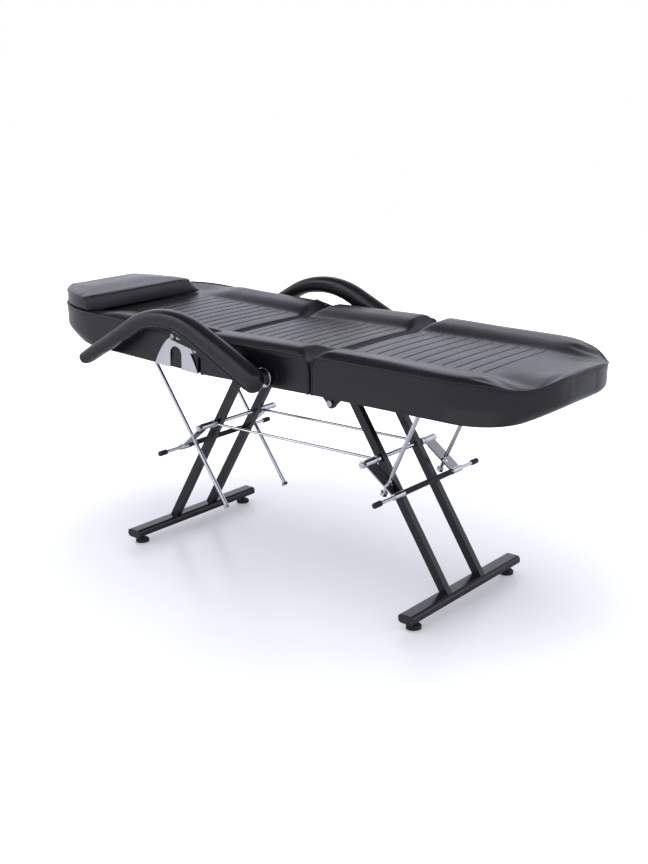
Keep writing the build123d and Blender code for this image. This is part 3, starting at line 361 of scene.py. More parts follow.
def makeCoat(name, look):
    # paint, plating or rubber: handling and dust over one colour, with fine pits
    material, tree, surface, place = newMaterial(name)
    wear = useGroup(tree, wearGroup, {"Place": place, "Patches": look["patches"], "Low": look["low"],
                                      "High": look["high"]})
    dust = useGroup(tree, dustGroup, {"Place": place, "Amount": look["dust"]})
    tint = mixed(tree, wear.outputs["Patch"], look["colour"], look["worn"])
    dusty = mixed(tree, dust.outputs["Dust"], tint, dustColour)
    tree.links.new(dusty, surface.inputs["Base Color"])
    tree.links.new(wear.outputs["Gloss"], surface.inputs["Roughness"])
    surface.inputs["Metallic"].default_value = look["metallic"]
    pits = node(tree, "ShaderNodeTexNoise", {"Vector": place, "Scale": look["pitScale"], "Detail": 2.0})
    bump = node(tree, "ShaderNodeBump", {"Height": pits.outputs["Fac"], "Strength": look["pit"],
                                         "Distance": pitHeight})
    tree.links.new(bump.outputs["Normal"], surface.inputs["Normal"])
    return material


plywoodLook = {"dark": (0.045, 0.036, 0.028), "light": (0.095, 0.078, 0.060), "stretch": (1.0, 9.0, 30.0),
               "scale": 9.0, "roughness": 0.7, "strength": 0.2, "height": 0.001}


def makePlywood(name, look):
    # face veneer: a noise stretched along X, between a dark and a light wood
    material, tree, surface, place = newMaterial(name)
    stretched = node(tree, "ShaderNodeMapping", {"Vector": place, "Scale": look["stretch"]})
    grain = node(tree, "ShaderNodeTexNoise", {"Vector": stretched.outputs[0], "Scale": look["scale"], "Detail": 6.0,
                                              "Roughness": 0.6, "Distortion": 0.4})
    tint = mixed(tree, grain.outputs["Fac"], look["dark"], look["light"])
    tree.links.new(tint, surface.inputs["Base Color"])
    surface.inputs["Roughness"].default_value = look["roughness"]
    bump = node(tree, "ShaderNodeBump", {"Height": grain.outputs["Fac"], "Strength": look["strength"],
                                         "Distance": look["height"]})
    tree.links.new(bump.outputs["Normal"], surface.inputs["Normal"])
    return material


leather = makeLeather("blackLeatherette", leatherLook)
finishes = {name: makeCoat(name, look) for name, look in coats.items()}
finishes["plywood"] = makePlywood("plywood", plywoodLook)
finishes["black_leatherette"] = leather
for part in frame["record"]["subparts"]:
    carrier = frame["nodes"][part["node"]]
    if not carrier.material_slots:
        carrier.data.materials.append(None)
    for slot in carrier.material_slots:
        slot.material = finishes[part["material_slot"]]
print("materials set")


def finished(obj, body, replaced):
    # leather on, riding its body; a cover stands in for the solid it replaces, which is hidden
    obj.data.materials.append(leather)
    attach(obj, body)
    if replaced:
        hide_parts(replaced)


# What the three pads share, in metres. A level is measured from the floor.
couch = {
    "halfWidth": 0.300, "pipingLevel": 0.711,
    "bolsterWidth": 0.135, "crown": 0.020, "outerRise": 0.058, "innerFall": 0.066, "footOverlap": 0.004,
    "outerPower": 2.1, "innerPower": 1.8, "taperStart": 0.10,
    "panelRecess": 0.008, "recessReach": 0.100, "panelDome": 0.002,
    "rollRadius": 0.062, "rollTop": 0.731, "rollSoftness": 0.004, "rollSteps": 11,
    "drawIn": 0.003, "underRise": 0.036, "underSetback": 0.064, "sideBulge": 0.05,
    "liningInset": 0.010, "liningDepth": 0.0015,
    "dipDegrees": 53.0, "dipSpread": 20.0, "dipReach": 0.075,
    "channelHalf": 0.160, "channelEnd": 0.018, "channelDepth": 0.0019, "channelSoft": 0.0014, "ribPuff": 0.0005,
    "ribShares": (0.0, 0.04, 0.12, 0.30, 0.50, 0.70, 0.88, 0.96), "beforeFirst": (0.0045, 0.0015),
    "pastLast": 0.012, "plainFrom": 0.018, "leastStep": 0.0028, "step": 0.0080,
    "denseShare": 0.34, "denseSteps": 14, "plainSteps": 15,
    "heightShares": (0, 0.05, 0.12, 0.23, 0.346, 0.43, 0.52, 0.61, 0.70, 0.78, 0.85, 0.91, 0.96, 1.0),
    "pipingRadius": 0.0032, "pipingOut": -0.0004, "pipingStep": 0.006, "pipingAround": 10,
    "upSteps": 16, "endSteps": 40,
    "heldTop": 0.999, "heldFoot": 0.02, "topShare": 0.86, "topFade": 0.08,
    # the next four darken the seam attribute with painted shade in the channel valleys and beside the piping
    "channelShade": 0.75, "edgeShade": 0.8, "edgeWidth": 0.004, "edgeHeight": 0.008,
    "fill": 0.9, "pressure": 1.6, "slack": 0.0, "mostBulge": 0.0014,
}
backrestHinge = (-0.15482, 0.680)
legrestHinge = (0.25378, 0.567)


def padPlan(a, pad, low):
    # the outline's edge at station a: a straight side and then a quarter circle. The low outline is shorter by
    # underSetback and has its own corner, and the same stations run through both
    length, radius = pad["length"], pad["radius"]
    if not radius:
        return a, couch["halfWidth"] * np.ones_like(a)
    straight = length - radius
    turn = np.arcsin(np.clip((a - straight) / radius, 0, 1))
    if low:
        length, radius = length - couch["underSetback"], pad["lowRadius"]
    along = np.where(turn > 0, length - radius + radius * np.sin(turn), a * (length - radius) / straight)
    return along, couch["halfWidth"] - radius * (1 - np.cos(turn))


def edgeDistance(along, across, length, radius):
    # distance in plan to the nearest side or rounded free end; the hinge ends don't count
    side = couch["halfWidth"] - np.abs(across)
    if not radius:
        return side
    overAlong = along - (length - radius)
    overAcross = np.abs(across) - (couch["halfWidth"] - radius)
    corner = radius - np.hypot(overAlong, overAcross)
    plain = np.minimum(side, length - along)
    return np.where((overAlong > 0) & (overAcross > 0), corner, plain)


def cornerDip(along, across, pad):
    # the seam sags round a free corner: a bell over the corner's angle that fades inwards over dipReach
    radius = pad["radius"]
    overAlong = along - (pad["length"] - radius)
    overAcross = np.maximum(np.abs(across) - (couch["halfWidth"] - radius), 1e-6)
    angle = np.degrees(np.arctan2(overAlong, overAcross))
    inwards = np.clip(edgeDistance(along, across, pad["length"], radius), 0, None)
    return (pad["dip"] * np.exp(-((angle - couch["dipDegrees"]) / couch["dipSpread"]) ** 2)
            * np.exp(-(inwards / couch["dipReach"]) ** 2))


def rollLevel(along):
    # a quarter circle from the hinge end up to the crown, then rising on, so that it no longer binds
    r = couch["rollRadius"]
    inside = np.clip(r - along, 0, r)
    return couch["rollTop"] - r + np.sqrt(r * r - inside ** 2) + np.clip(along - r, 0, None)


def bolsterLevel(along, across, pad):
    # a bolster climbs steeply from the seam, on a squarish oval's quarter, and falls gently to the panel; it gets
    # lower towards a free end, where the seam cuts across it
    length, radius = pad["length"], pad["radius"]
    outer = np.clip(edgeDistance(along, across, length, radius) / couch["outerRise"], 0, 1)
    inner = np.clip((np.abs(across) - couch["halfWidth"] + couch["bolsterWidth"] + couch["footOverlap"])
                    / couch["innerFall"], 0, 1)
    climb = (1 - (1 - outer) ** couch["outerPower"]) ** (1 / couch["outerPower"])
    fall = smooth(inner) ** (1 / couch["innerPower"])
    height = couch["crown"] * climb * fall
    if radius:
        fromHinge = np.clip((along - couch["taperStart"]) / (length - couch["taperStart"] - pad["fade"]), 0, 1)
        height = height * (1 - pad["taper"] * fromHinge)
        height = height * smooth((length - along - pad["flat"]) / (pad["fade"] - pad["flat"]))
    return height


def topLevel(along, across, pad):
    # bolsters along both sides, beside a slightly domed panel; the lower of that and the roll holds at a hinge, with
    # a soft change between them
    length, radius = pad["length"], pad["radius"]
    inner = couch["halfWidth"] - couch["bolsterWidth"]
    dome = couch["panelDome"] * np.clip(1 - (across / inner) ** 2, 0, 1)
    fromEdge = np.clip(edgeDistance(along, across, length, radius), 0, None)
    level = couch["pipingLevel"] - couch["panelRecess"] * smooth(fromEdge / couch["recessReach"]) + dome
    level = level + bolsterLevel(along, across, pad)
    rolls = [rollLevel(along)]
    if radius:
        level = level - cornerDip(along, across, pad)
    else:
        rolls.append(rollLevel(length - along))
    k = couch["rollSoftness"]
    for roll in rolls:
        h = np.clip(0.5 + 0.5 * (roll - level) / k, 0, 1)
        level = roll * (1 - h) + level * h - k * h * (1 - h)
    return level


def underLevel(along, across, pad):
    # flat, and raised a little where the board's lining shows
    if pad["radius"]:
        inset = edgeDistance(along, across, pad["length"] - couch["underSetback"], pad["lowRadius"])
        inset = np.minimum(inset, along)
    else:
        inset = np.minimum(couch["halfWidth"] - np.abs(across), np.minimum(along, pad["length"] - along))
    return pad["bottom"] + couch["liningDepth"] * smooth((inset - couch["liningInset"]) / couch["liningInset"])


def padShape(pad):
    # the pad's own form, as a function of the block's parameters
    def shape(a, b, c):
        # a is the station from the hinge, b the share across, c the share of the height; up to underRise the side
        # leans out from the low outline to the top one
        topAlong, topWidth = padPlan(a, pad, False)
        lowAlong, lowWidth = padPlan(a, pad, True)
        under, high = underLevel(lowAlong, b * lowWidth, pad), topLevel(topAlong, b * topWidth, pad)
        level = under + (high - under) * c
        lean = np.clip((level - pad["bottom"]) / couch["underRise"], 0, 1)
        lean = lean + couch["sideBulge"] * np.sin(np.pi * lean)
        along = lowAlong + (topAlong - lowAlong) * lean
        across = b * (lowWidth + (topWidth - lowWidth) * lean)
        drawn = 1 - couch["drawIn"] / couch["halfWidth"] * 4 * c * (1 - c)
        return np.stack([pad["start"] + pad["way"] * along, across * drawn, level], -1)
    return shape


def padStations(pad):
    # places from the hinge: close together on the rolled ends and beside each channel, and at equal angles round a
    # free end's corners; the channels' own places come first, and others keep clear of them
    length, radius, step = pad["length"], pad["radius"], couch["step"]
    first, last = pad["firstChannel"], pad["firstChannel"] + pad["pitch"] * (pad["channels"] - 1)
    beside = np.array(couch["ribShares"])
    ribs = (first + pad["pitch"] * (np.arange(pad["channels"])[:, None] + beside)).ravel()
    kept = np.concatenate([first - np.array(couch["beforeFirst"]), ribs[ribs < last + couch["pastLast"]]])
    roll = couch["rollRadius"] * (1 - np.cos(np.linspace(0, np.pi / 2, couch["rollSteps"])))
    if radius:
        turns = int(radius * np.pi / 2 / step) + 1
        others = [roll, length - radius + radius * np.sin(np.linspace(0, np.pi / 2, turns)),
                  np.arange(last + couch["plainFrom"], length - radius - step / 2, step)]
    else:
        others = [roll, length - roll]
    for places in others:
        clear = np.abs(places[:, None] - kept[None, :]).min(axis=1) > couch["leastStep"]
        kept = np.concatenate([kept, places[clear]])
    return np.sort(kept)


# Each pad in metres, along X from its hinge end; way is 1 towards the foot and -1 towards the head, and degrees turns
# it from level to the pose that the part is built in.
pads = {
    "seat": {"body": "frame", "node": "seat_pad", "start": -0.15182, "way": 1, "length": 0.4026, "radius": 0.0,
             "bottom": 0.607, "firstChannel": 0.0493, "channels": 9, "pitch": 0.038,
             "hinge": None, "degrees": 0.0, "hingeInset": 0.006},
    "legrest": {"body": "legrest", "node": "legrest_pad", "start": 0.25678, "way": 1, "length": 0.6315,
                "radius": 0.240, "lowRadius": 0.130, "flat": 0.0, "fade": 0.200, "taper": 0.25, "dip": 0.019,
                "bottom": 0.607, "firstChannel": 0.062, "channels": 10, "pitch": 0.041,
                "hinge": legrestHinge, "degrees": 1.0, "hingeInset": 0.002},
    "backrest": {"body": "backrest", "node": "backrest_pad", "start": -0.15782, "way": -1, "length": 0.732,
                 "radius": 0.258, "lowRadius": 0.258, "flat": 0.240, "fade": 0.380, "taper": 0.20, "dip": 0.004,
                 "bottom": 0.609, "firstChannel": 0.062, "channels": 10, "pitch": 0.038,
                 "hinge": backrestHinge, "degrees": 3.0, "hingeInset": 0.002},
}


def channelDepth(along, across, pad):
    # each sewn channel is a soft valley across the panel, and between two a rib puffs up; back come the depth and the
    # valley's share
    pitch, count = pad["pitch"], pad["channels"]
    first = pad["firstChannel"]
    share = np.clip((along - first) / pitch, 0, count - 1)
    d = np.abs(along - first - np.round(share) * pitch)
    inside = smooth((couch["channelHalf"] - np.abs(across)) / couch["channelEnd"])
    valley = np.exp(-(d / couch["channelSoft"]) ** 2) * inside
    within = (along > first) & (along < first + (count - 1) * pitch)
    puff = np.where(within, np.abs(np.sin(np.pi * (along - first) / pitch)), 0) * inside
    return couch["channelDepth"] * valley - couch["ribPuff"] * puff, valley


def makePad(name, pad):
    # the cover is blown up as cloth and made finer; then the channels are pressed into its top
    shape = padShape(pad)
    dense = couch["denseShare"]
    fromEdge = np.concatenate([np.linspace(0, dense, couch["denseSteps"])[:-1],
                               np.linspace(dense, 1, couch["plainSteps"])])
    half = 1 - fromEdge[:-1]
    acrosses = np.concatenate([-half, [0.0], half[::-1]])
    points, quads, (a, b, c) = blockForm(shape, padStations(pad), acrosses, couch["heightShares"])
    obj = meshObject(name + "_pad_cover", points, quads.tolist())
    atTop = c > couch["heldTop"]
    edge = (np.abs(b) > couch["heldTop"]) & atTop | (c < couch["heldFoot"])
    if pad["radius"]:
        edge |= (a > pad["length"] - 1e-6) & atTop
    inflate(obj, edge, couch)
    subdivided(obj)
    p = pointsOf(obj)
    along = (p[:, 0] - pad["start"]) * pad["way"]
    low, high = underLevel(along, p[:, 1], pad), topLevel(along, p[:, 1], pad)
    isTop = smooth(((p[:, 2] - low) / np.maximum(high - low, 1e-4) - couch["topShare"]) / couch["topFade"])
    depth, valley = channelDepth(along, p[:, 1], pad)
    p[:, 2] -= depth * isTop
    # painted shade: each channel valley and a thin line on the cover beside the piping are darkened, where shade falls
    edgeGap = np.abs(edgeDistance(along, p[:, 1], pad["length"], pad["radius"]))
    atEdge = np.exp(-(edgeGap / couch["edgeWidth"]) ** 2) * np.exp(-((p[:, 2] - high) / couch["edgeHeight"]) ** 2)
    if pad["hinge"]:
        p = turned(p, pad["hinge"], pad["degrees"])
    setPoints(obj, p)
    setSeamAndShade(obj, np.clip(valley * isTop * couch["channelShade"] + atEdge * couch["edgeShade"], 0, 1))
    finished(obj, pad["body"], pad["node"])
    print("pad", name + ":", len(obj.data.vertices), "points")
    return shape


def pipingPath(shape, pad, hand):
    # up the hinge edge, along the side and, at a rounded end, round it and back down the other hinge edge; it keeps
    # hingeInset clear of the hinge, so that it never meets the next pad's
    inset = pad["hingeInset"]
    stations = np.clip(padStations(pad), inset, pad["length"] - (0 if pad["radius"] else inset))
    ups = np.linspace(0, 1, couch["upSteps"])
    one = np.ones_like
    legs = [(np.full_like(ups, inset), hand * one(ups), ups), (stations, hand * one(stations), one(stations))]
    if pad["radius"]:
        across = np.linspace(hand, -hand, couch["endSteps"])
        legs += [(np.full_like(across, pad["length"]), across, one(across)),
                 (stations[::-1], -hand * one(stations), one(stations)),
                 (np.full_like(ups, inset), -hand * one(ups), ups[::-1])]
    else:
        legs += [(np.full_like(ups, pad["length"] - inset), hand * one(ups), ups[::-1])]
    return evened(np.concatenate([shape(*leg) for leg in legs]), couch["pipingStep"])


def outwardOf(path, pad):
    # in plan: square to the side, radial round the free end's corners
    along = (path[:, 0] - pad["start"]) * pad["way"]
    if not pad["radius"]:
        return np.stack([0 * along, np.sign(path[:, 1]), 0 * along], -1)
    flat = couch["halfWidth"] - pad["radius"]
    x = np.clip(along - (pad["length"] - pad["radius"]), 0, None)
    y = np.sign(path[:, 1]) * np.clip(np.abs(path[:, 1]) - flat, 0, None)
    way = np.stack([pad["way"] * x, y, 0 * x], -1)
    return way / np.maximum(np.linalg.norm(way, axis=1, keepdims=True), 1e-9)


def makePiping(name, pad, shape):
    # one cord round a pad with a free end, and one down each side of the seat
    hands = [-1] if pad["radius"] else [-1, 1]
    for hand in hands:
        path = pipingPath(shape, pad, hand)
        outward = outwardOf(path, pad)
        path = path + outward * couch["pipingOut"]
        points, faces = tubeForm(cordRings(path, outward, couch["pipingRadius"], couch["pipingAround"]))
        if pad["hinge"]:
            points = turned(points, pad["hinge"], pad["degrees"])
        label = "" if pad["radius"] else ("_right" if hand < 0 else "_left")
        obj = meshObject(name + "_piping" + label, points, faces)
        setSeamAndShade(obj, np.zeros(len(points)))
        finished(obj, pad["body"], None)


for name, pad in pads.items():
    shape = makePad(name, pad)
    makePiping(name, pad, shape)


# The two armrests, in metres and degrees; their sections' heights run from the pivot to the tip.
armrest = {
    "pivot": (0.10158, 0.636), "side": 0.353, "halfWidth": 0.026, "riseDegrees": 26.9, "fallDegrees": 28.6,
    "frontRun": 0.3707, "rearRun": 0.3958, "bend": 0.280, "heights": (0.070, 0.061, 0.050, 0.043, 0.038),
    "square": 0.80, "capShare": 0.92, "capSteps": 8, "capTip": 0.02, "around": 40, "step": 0.009,
    "weltDegrees": (-38.0, -142.0), "weltRadius": 0.0017, "weltStep": 0.007, "weltAround": 8, "weltProud": 0.0006,
    "seamSpread": 0.12, "seamShadeDark": 0.8, "fill": 0.85, "pressure": 1.5, "slack": 0.004, "mostBulge": 0.0015,
}


def armrestLine(s):
    # a straight run up from the pivot, an arc, and a straight run down to the tip: place and heading at length s
    front, rear = np.radians(armrest["riseDegrees"]), np.radians(armrest["fallDegrees"])
    bend, total = armrest["bend"], front + rear
    setback = bend * np.tan(total / 2)
    straight = armrest["frontRun"] - setback
    turn = np.clip((s - straight) / bend, 0, total)
    x0, z0 = armrest["pivot"]
    first = np.minimum(s, straight)
    last = np.maximum(s - straight - bend * total, 0)
    chord, mean = 2 * bend * np.sin(turn / 2), front - turn / 2
    x = x0 - first * np.cos(front) - chord * np.cos(mean) - last * np.cos(rear)
    z = z0 + first * np.sin(front) + chord * np.sin(mean) - last * np.sin(rear)
    return x, z, front - turn


def armrestLength():
    # both runs and the arc, less the corner that the arc cuts off
    front, rear = np.radians(armrest["riseDegrees"]), np.radians(armrest["fallDegrees"])
    setback = armrest["bend"] * np.tan((front + rear) / 2)
    return armrest["frontRun"] + armrest["rearRun"] - 2 * setback + armrest["bend"] * (front + rear)


def armrestPoints(s, angle, side, shrink=1.0, proud=0.0):
    # a squarish oval, square to the bent line, deep at the pivot and thin at the tip
    total = armrestLength()
    x, z, heading = armrestLine(s)
    share = np.clip(s / total, 0, 1) * (len(armrest["heights"]) - 1)
    height = np.interp(share, np.arange(len(armrest["heights"])), armrest["heights"]) / 2
    power = armrest["square"]
    across = np.sign(np.cos(angle)) * np.abs(np.cos(angle)) ** power * armrest["halfWidth"]
    up = np.sign(np.sin(angle)) * np.abs(np.sin(angle)) ** power * height
    across, up = across * shrink + proud * np.cos(angle), up * shrink + proud * np.sin(angle)
    return np.stack([x + up * np.sin(heading), side * armrest["side"] + across, z + up * np.cos(heading)], -1)


def makeArmrest(label, side):
    # sections along the bent line with a dome at each end; two welts run along the underside
    total, heights = armrestLength(), armrest["heights"]
    quarter = np.linspace(0, np.pi / 2, armrest["capSteps"] + 1)[:-1]
    front, rear = heights[0] / 2 * armrest["capShare"], heights[-1] / 2 * armrest["capShare"]
    body = np.linspace(0, total, int(total / armrest["step"]))
    s = np.concatenate([-front * np.cos(quarter), body, (total + rear * np.cos(quarter))[::-1]])
    shrink = np.concatenate([np.sin(quarter), np.ones_like(body), np.sin(quarter)[::-1]])
    shrink[[0, -1]] = armrest["capTip"]
    angle = np.linspace(0, 2 * np.pi, armrest["around"], endpoint=False)
    grid = np.meshgrid(s, angle, indexing="ij")
    rings = armrestPoints(grid[0], grid[1], side, shrink[:, None])
    points, faces = tubeForm(rings)
    obj = meshObject("armrest_cover_" + label, points, faces)
    seamAt = [np.radians(v) % (2 * np.pi) for v in armrest["weltDegrees"]]
    near = np.min([np.abs(np.angle(np.exp(1j * (grid[1] - v)))) for v in seamAt], axis=0)
    inflate(obj, np.concatenate([near.ravel() < armrest["seamSpread"], [True, True]]), armrest)
    # painted shade: the cover is darkened along the lines of the welts, where shade falls beside them
    seamAndShade = np.concatenate([np.exp(-(near.ravel() / armrest["seamSpread"]) ** 2) * armrest["seamShadeDark"], [0, 0]])
    setSeamAndShade(obj, seamAndShade)
    subdivided(obj)
    finished(obj, "armrest_" + label, "armrest_pad_" + label)
    for index, degrees in enumerate(armrest["weltDegrees"]):
        run = np.linspace(0.0, total, int(total / armrest["weltStep"]))
        at = np.full_like(run, np.radians(degrees))
        path = armrestPoints(run, at, side, 1.0, armrest["weltProud"])
        middle = armrestPoints(run, at, side, 0.5)
        points, faces = tubeForm(cordRings(path, path - middle, armrest["weltRadius"], armrest["weltAround"]))
        welt = meshObject("armrest_welt_%s_%d" % (label, index + 1), points, faces)
        setSeamAndShade(welt, np.zeros(len(points)))
        finished(welt, "armrest_" + label, None)
    print("armrest", label, "made")


for label, side in (("left", 1), ("right", -1)):
    makeArmrest(label, side)


# The head pillow, drawn in the backrest's level frame and then turned with it.
pillow = {
    "front": 0.476, "depth": 0.216, "offset": -0.0455, "width": 0.501, "headRadius": 0.258, "headEnd": 0.735,
    "frontSlant": 0.008, "farSlant": 0.055, "backSlant": 0.022, "base": 0.7086, "thickness": 0.0468,
    "rounding": 0.008, "corner": 0.045, "cornerDepth": 0.027, "gap": 0.0006, "dome": 0.006, "domeReach": 0.11,
    "alongSteps": 33, "acrossSteps": 62, "upSteps": 13, "heldShare": 0.78, "heldBand": 0.04,
    "pipingRadius": 0.0026, "pipingShare": 0.86, "pipingFoot": 0.02, "pipingStep": 0.006, "pipingAround": 8,
    "pipingSteps": 60, "gussetReach": 0.1,
    "fill": 0.75, "pressure": 1.2, "slack": 0.0, "mostBulge": 0.0018,
}


def pillowShape(a, b, c):
    # a runs from the back edge to the front, b from the near end to the far end, c up. Both ends follow the round
    # head end, the far end and the front slope in, and a quarter circle rounds the low and the top edges
    pad = pads["backrest"]
    share = 2 * pillow["rounding"] / pillow["thickness"]
    turn = np.clip((np.abs(2 * c - 1) - 1 + share) / share, 0, 1)
    inset = pillow["rounding"] * (1 - np.sqrt(1 - turn ** 2))
    back = backrestHinge[0] - pillow["front"] - pillow["depth"] + inset
    front = backrestHinge[0] - pillow["front"] - pillow["frontSlant"] * c - inset / 2
    x = back + (front - back) * a
    radius, centre = pillow["headRadius"], backrestHinge[0] - pillow["headEnd"] + pillow["headRadius"]
    over = np.clip(centre - x, 0, radius)
    drawn = radius - np.sqrt(radius ** 2 - over ** 2)
    most = radius - np.sqrt(radius ** 2 - (centre - back) ** 2)
    near = pillow["offset"] - pillow["width"] / 2 + inset + drawn
    far = (pillow["offset"] + pillow["width"] / 2 - pillow["farSlant"] * c - inset
           - drawn * (1 - (pillow["farSlant"] - pillow["backSlant"]) * c / most))
    bend = np.clip(1 - (1 - a) * pillow["depth"] / pillow["corner"], 0, 1)
    far = far - pillow["cornerDepth"] * (1 - np.sqrt(1 - bend ** 2))
    y = near + (far - near) * b
    low = np.maximum(topLevel(pad["start"] - x, y, pad) + pillow["gap"], pillow["base"])
    fromEdge = np.minimum(np.minimum(a, 1 - a) * pillow["depth"], np.minimum(b, 1 - b) * pillow["width"])
    high = pillow["base"] + pillow["thickness"] + pillow["dome"] * smooth(fromEdge / pillow["domeReach"])
    return np.stack([x, y, low + (high - low) * c], -1)


def makePillow():
    # the cover is held along its underside and a band at its edge; a cord runs round its two ends and its back edge,
    # and one down the near front corner
    degrees = pads["backrest"]["degrees"]
    along, across = np.linspace(0, 1, pillow["alongSteps"]), np.linspace(0, 1, pillow["acrossSteps"])
    ups = 0.5 - 0.5 * np.cos(np.linspace(0, np.pi, pillow["upSteps"]))
    points, quads, (a, b, c) = blockForm(pillowShape, along, across, ups)
    obj = meshObject("head_pillow_cover", points, quads.tolist())
    edge = (a < 1e-6) | (a > 1 - 1e-6) | (b < 1e-6) | (b > 1 - 1e-6)
    inflate(obj, (c < 1e-6) | ((np.abs(c - pillow["heldShare"]) < pillow["heldBand"]) & edge), pillow)
    subdivided(obj)
    p = pointsOf(obj)
    setPoints(obj, turned(p, backrestHinge, degrees))
    setSeamAndShade(obj, np.zeros(len(p)))
    finished(obj, "pillow", "head_pillow")
    t = np.linspace(0, 1, pillow["pipingSteps"])
    one = np.ones_like(t)
    level = pillow["pipingShare"] * one
    down = pillow["pipingShare"] + (pillow["pipingFoot"] - pillow["pipingShare"]) * t
    legs = {"end": [(t[::-1], 0 * one, level), (0 * one, t, level), (t, one, level)],
            "gusset": [(one, 0 * one, down)]}
    reach = pillow["gussetReach"]
    for label, places in legs.items():
        path = evened(np.concatenate([pillowShape(*leg) for leg in places]), pillow["pipingStep"])
        middle = path.mean(axis=0) if label == "end" else path[0] + np.array([-reach, reach, 0.0])
        outward = (path - middle) * np.array([2.0, 1.0, 0.0])
        points, faces = tubeForm(cordRings(path, outward, pillow["pipingRadius"], pillow["pipingAround"]))
        welt = meshObject("head_pillow_piping_" + label, turned(points, backrestHinge, degrees), faces)
        setSeamAndShade(welt, np.zeros(len(points)))
        finished(welt, "pillow", None)
    print("head pillow made")


makePillow()


# Floor, world, lamps and camera.
stage = {
    "size": 16.0, "floorColour": (0.87, 0.89, 0.93), "mottle": 1.01, "floorRoughness": 0.26, "floorSpecular": 0.30,
    "nearShadeGlow": 0.24, "farLift": 1.0, "nearReach": 0.6, "farReach": 2.2, "reflectedTint": 0.70, "reflectedShare": 0.15,
    "worldLevel": 0.55, "overhead": 0.11, "bandTop": 0.40, "bandEnd": 0.72, "bandColour": (0.97, 0.98, 1.12),
    "key": {"place": (0.2, -0.3, 3.4), "size": 3.6, "power": 62.0, "reflected": False},
    "fill": {"place": (-2.6, -2.8, 1.9), "size": 1.2, "power": 9.0, "reflected": True},
    "rim": {"place": (-1.8, 3.0, 2.2), "size": 2.0, "power": 18.0, "reflected": False},
    "lampTarget": (0.0, 0.0, 0.5),
}
camera = {"place": (2.23852, -2.61914, 1.385), "azimuth": 39.9, "elevation": 16.06, "roll": -1.17,
          "lens": 50.215, "sensor": 36.0}


def makeFloor():
    # a pale floor that glows more with the distance from the couch, so that it runs into the white behind, and glows
    # least near the couch as painted shade round it; it shows darker in reflections
    half = stage["size"] / 2
    corners = np.array([(-half, -half, 0), (half, -half, 0), (half, half, 0), (-half, half, 0)])
    floor = meshObject("floor", corners, [(0, 1, 2, 3)])
    material, tree, surface, place = newMaterial("paleFloor")
    mottle = node(tree, "ShaderNodeTexNoise", {"Vector": place, "Scale": 3.0, "Detail": 3.0})
    lighter = tuple(v * stage["mottle"] for v in stage["floorColour"])
    tint = mixed(tree, mottle.outputs["Fac"], stage["floorColour"], lighter)
    path = node(tree, "ShaderNodeLightPath")
    dimmed = tuple(v * stage["reflectedTint"] for v in stage["floorColour"])
    shownTint = mixed(tree, path.outputs["Is Glossy Ray"], tint, dimmed)
    tree.links.new(shownTint, surface.inputs["Base Color"])
    surface.inputs["Roughness"].default_value = stage["floorRoughness"]
    surface.inputs["Specular IOR Level"].default_value = stage["floorSpecular"]
    surface.inputs["Emission Color"].default_value = (1, 1, 1, 1)
    away = node(tree, "ShaderNodeVectorMath", {0: place}, operation="LENGTH")
    # painted shade: the glow is lowest near the couch, a soft shade painted round it
    glowPastShade = node(tree, "ShaderNodeMapRange", {"Value": away.outputs["Value"], "From Min": stage["nearReach"],
                                             "From Max": stage["farReach"], "To Min": stage["nearShadeGlow"],
                                             "To Max": stage["farLift"]}, interpolation_type="SMOOTHSTEP")
    seen = node(tree, "ShaderNodeMath", {0: path.outputs["Is Glossy Ray"], 1: stage["reflectedShare"],
                                         2: path.outputs["Is Camera Ray"]}, operation="MULTIPLY_ADD")
    shown = node(tree, "ShaderNodeMath", {0: seen.outputs[0], 1: glowPastShade.outputs["Result"]}, operation="MULTIPLY")
    tree.links.new(shown.outputs[0], surface.inputs["Emission Strength"])
    floor.data.materials.append(material)


def makeLamp(name, look):
    # an area lamp whose -Z axis points at lampTarget; reflected says whether glossy surfaces show it
    light = bpy.data.lights.new(name, "AREA")
    light.size = look["size"]
    light.energy = look["power"]
    lamp = bpy.data.objects.new(name, light)
    lamp.location = look["place"]
    away = np.array(look["place"]) - np.array(stage["lampTarget"])
    z = away / np.linalg.norm(away)
    x = np.cross((0.0, 1.0, 0.0), z)
    x /= np.linalg.norm(x)
    y = np.cross(z, x)
    lamp.rotation_euler = Matrix(np.stack([x, y, z], -1).tolist()).to_euler()
    lamp.visible_glossy = look["reflected"]
    bpy.context.scene.collection.objects.link(lamp)


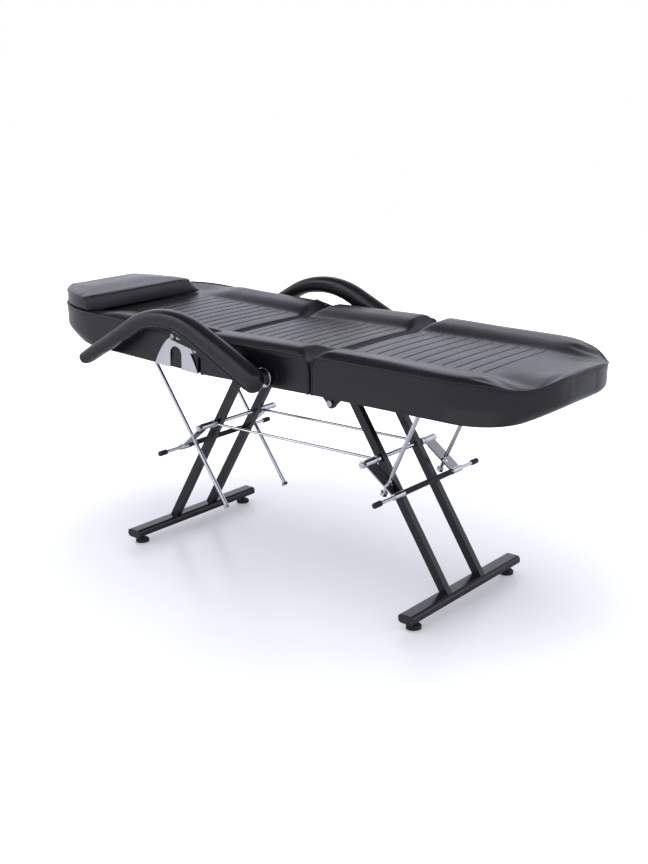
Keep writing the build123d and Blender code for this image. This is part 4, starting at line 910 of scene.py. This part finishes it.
def makeWorld():
    # camera rays meet plain white, reflections a white band over the horizon under a darker ceiling, and all other
    # rays one even level
    world = bpy.data.worlds.new("studio")
    world.use_nodes = True
    tree = world.node_tree
    background = tree.nodes["Background"]
    split = node(tree, "ShaderNodeSeparateXYZ", {0: node(tree, "ShaderNodeTexCoord").outputs["Generated"]})
    band = node(tree, "ShaderNodeMapRange", {"Value": split.outputs["Z"], "From Min": stage["bandTop"],
                                             "From Max": stage["bandEnd"], "To Min": 1.0,
                                             "To Max": stage["overhead"]}, interpolation_type="SMOOTHSTEP")
    path = node(tree, "ShaderNodeLightPath")
    tint = mixed(tree, path.outputs["Is Camera Ray"], stage["bandColour"], (1, 1, 1))
    tree.links.new(tint, background.inputs["Color"])
    plain = node(tree, "ShaderNodeMapRange", {"Value": path.outputs["Is Camera Ray"],
                                              "To Min": stage["worldLevel"], "To Max": 1.0})
    away = node(tree, "ShaderNodeMath", {0: band.outputs["Result"], 1: plain.outputs["Result"]},
                operation="SUBTRACT")
    mirrored = node(tree, "ShaderNodeMath", {0: path.outputs["Is Glossy Ray"], 1: away.outputs[0],
                                             2: plain.outputs["Result"]}, operation="MULTIPLY_ADD")
    tree.links.new(mirrored.outputs[0], background.inputs["Strength"])
    bpy.context.scene.world = world


def makeCamera():
    # ahead from azimuth and elevation, then rolled about that line
    azimuth, elevation, roll = (np.radians(camera[k]) for k in ("azimuth", "elevation", "roll"))
    ahead = np.array([-np.sin(azimuth) * np.cos(elevation), np.cos(azimuth) * np.cos(elevation), -np.sin(elevation)])
    right = np.array([np.cos(azimuth), np.sin(azimuth), 0.0])
    up = np.cross(right, ahead)
    x, y = right * np.cos(roll) + up * np.sin(roll), -right * np.sin(roll) + up * np.cos(roll)
    lens = bpy.data.cameras.new("camera")
    lens.lens, lens.sensor_width = camera["lens"], camera["sensor"]
    view = bpy.data.objects.new("camera", lens)
    turnedBy = Matrix(np.stack([x, y, -ahead], -1).tolist()).to_4x4()
    view.matrix_world = Matrix.Translation(camera["place"]) @ turnedBy
    bpy.context.scene.collection.objects.link(view)
    bpy.context.scene.camera = view


makeFloor()
for name in ("key", "fill", "rim"):
    makeLamp(name, stage[name])
makeWorld()
makeCamera()
bpy.context.scene.view_settings.view_transform = "Standard"
print("stage set")
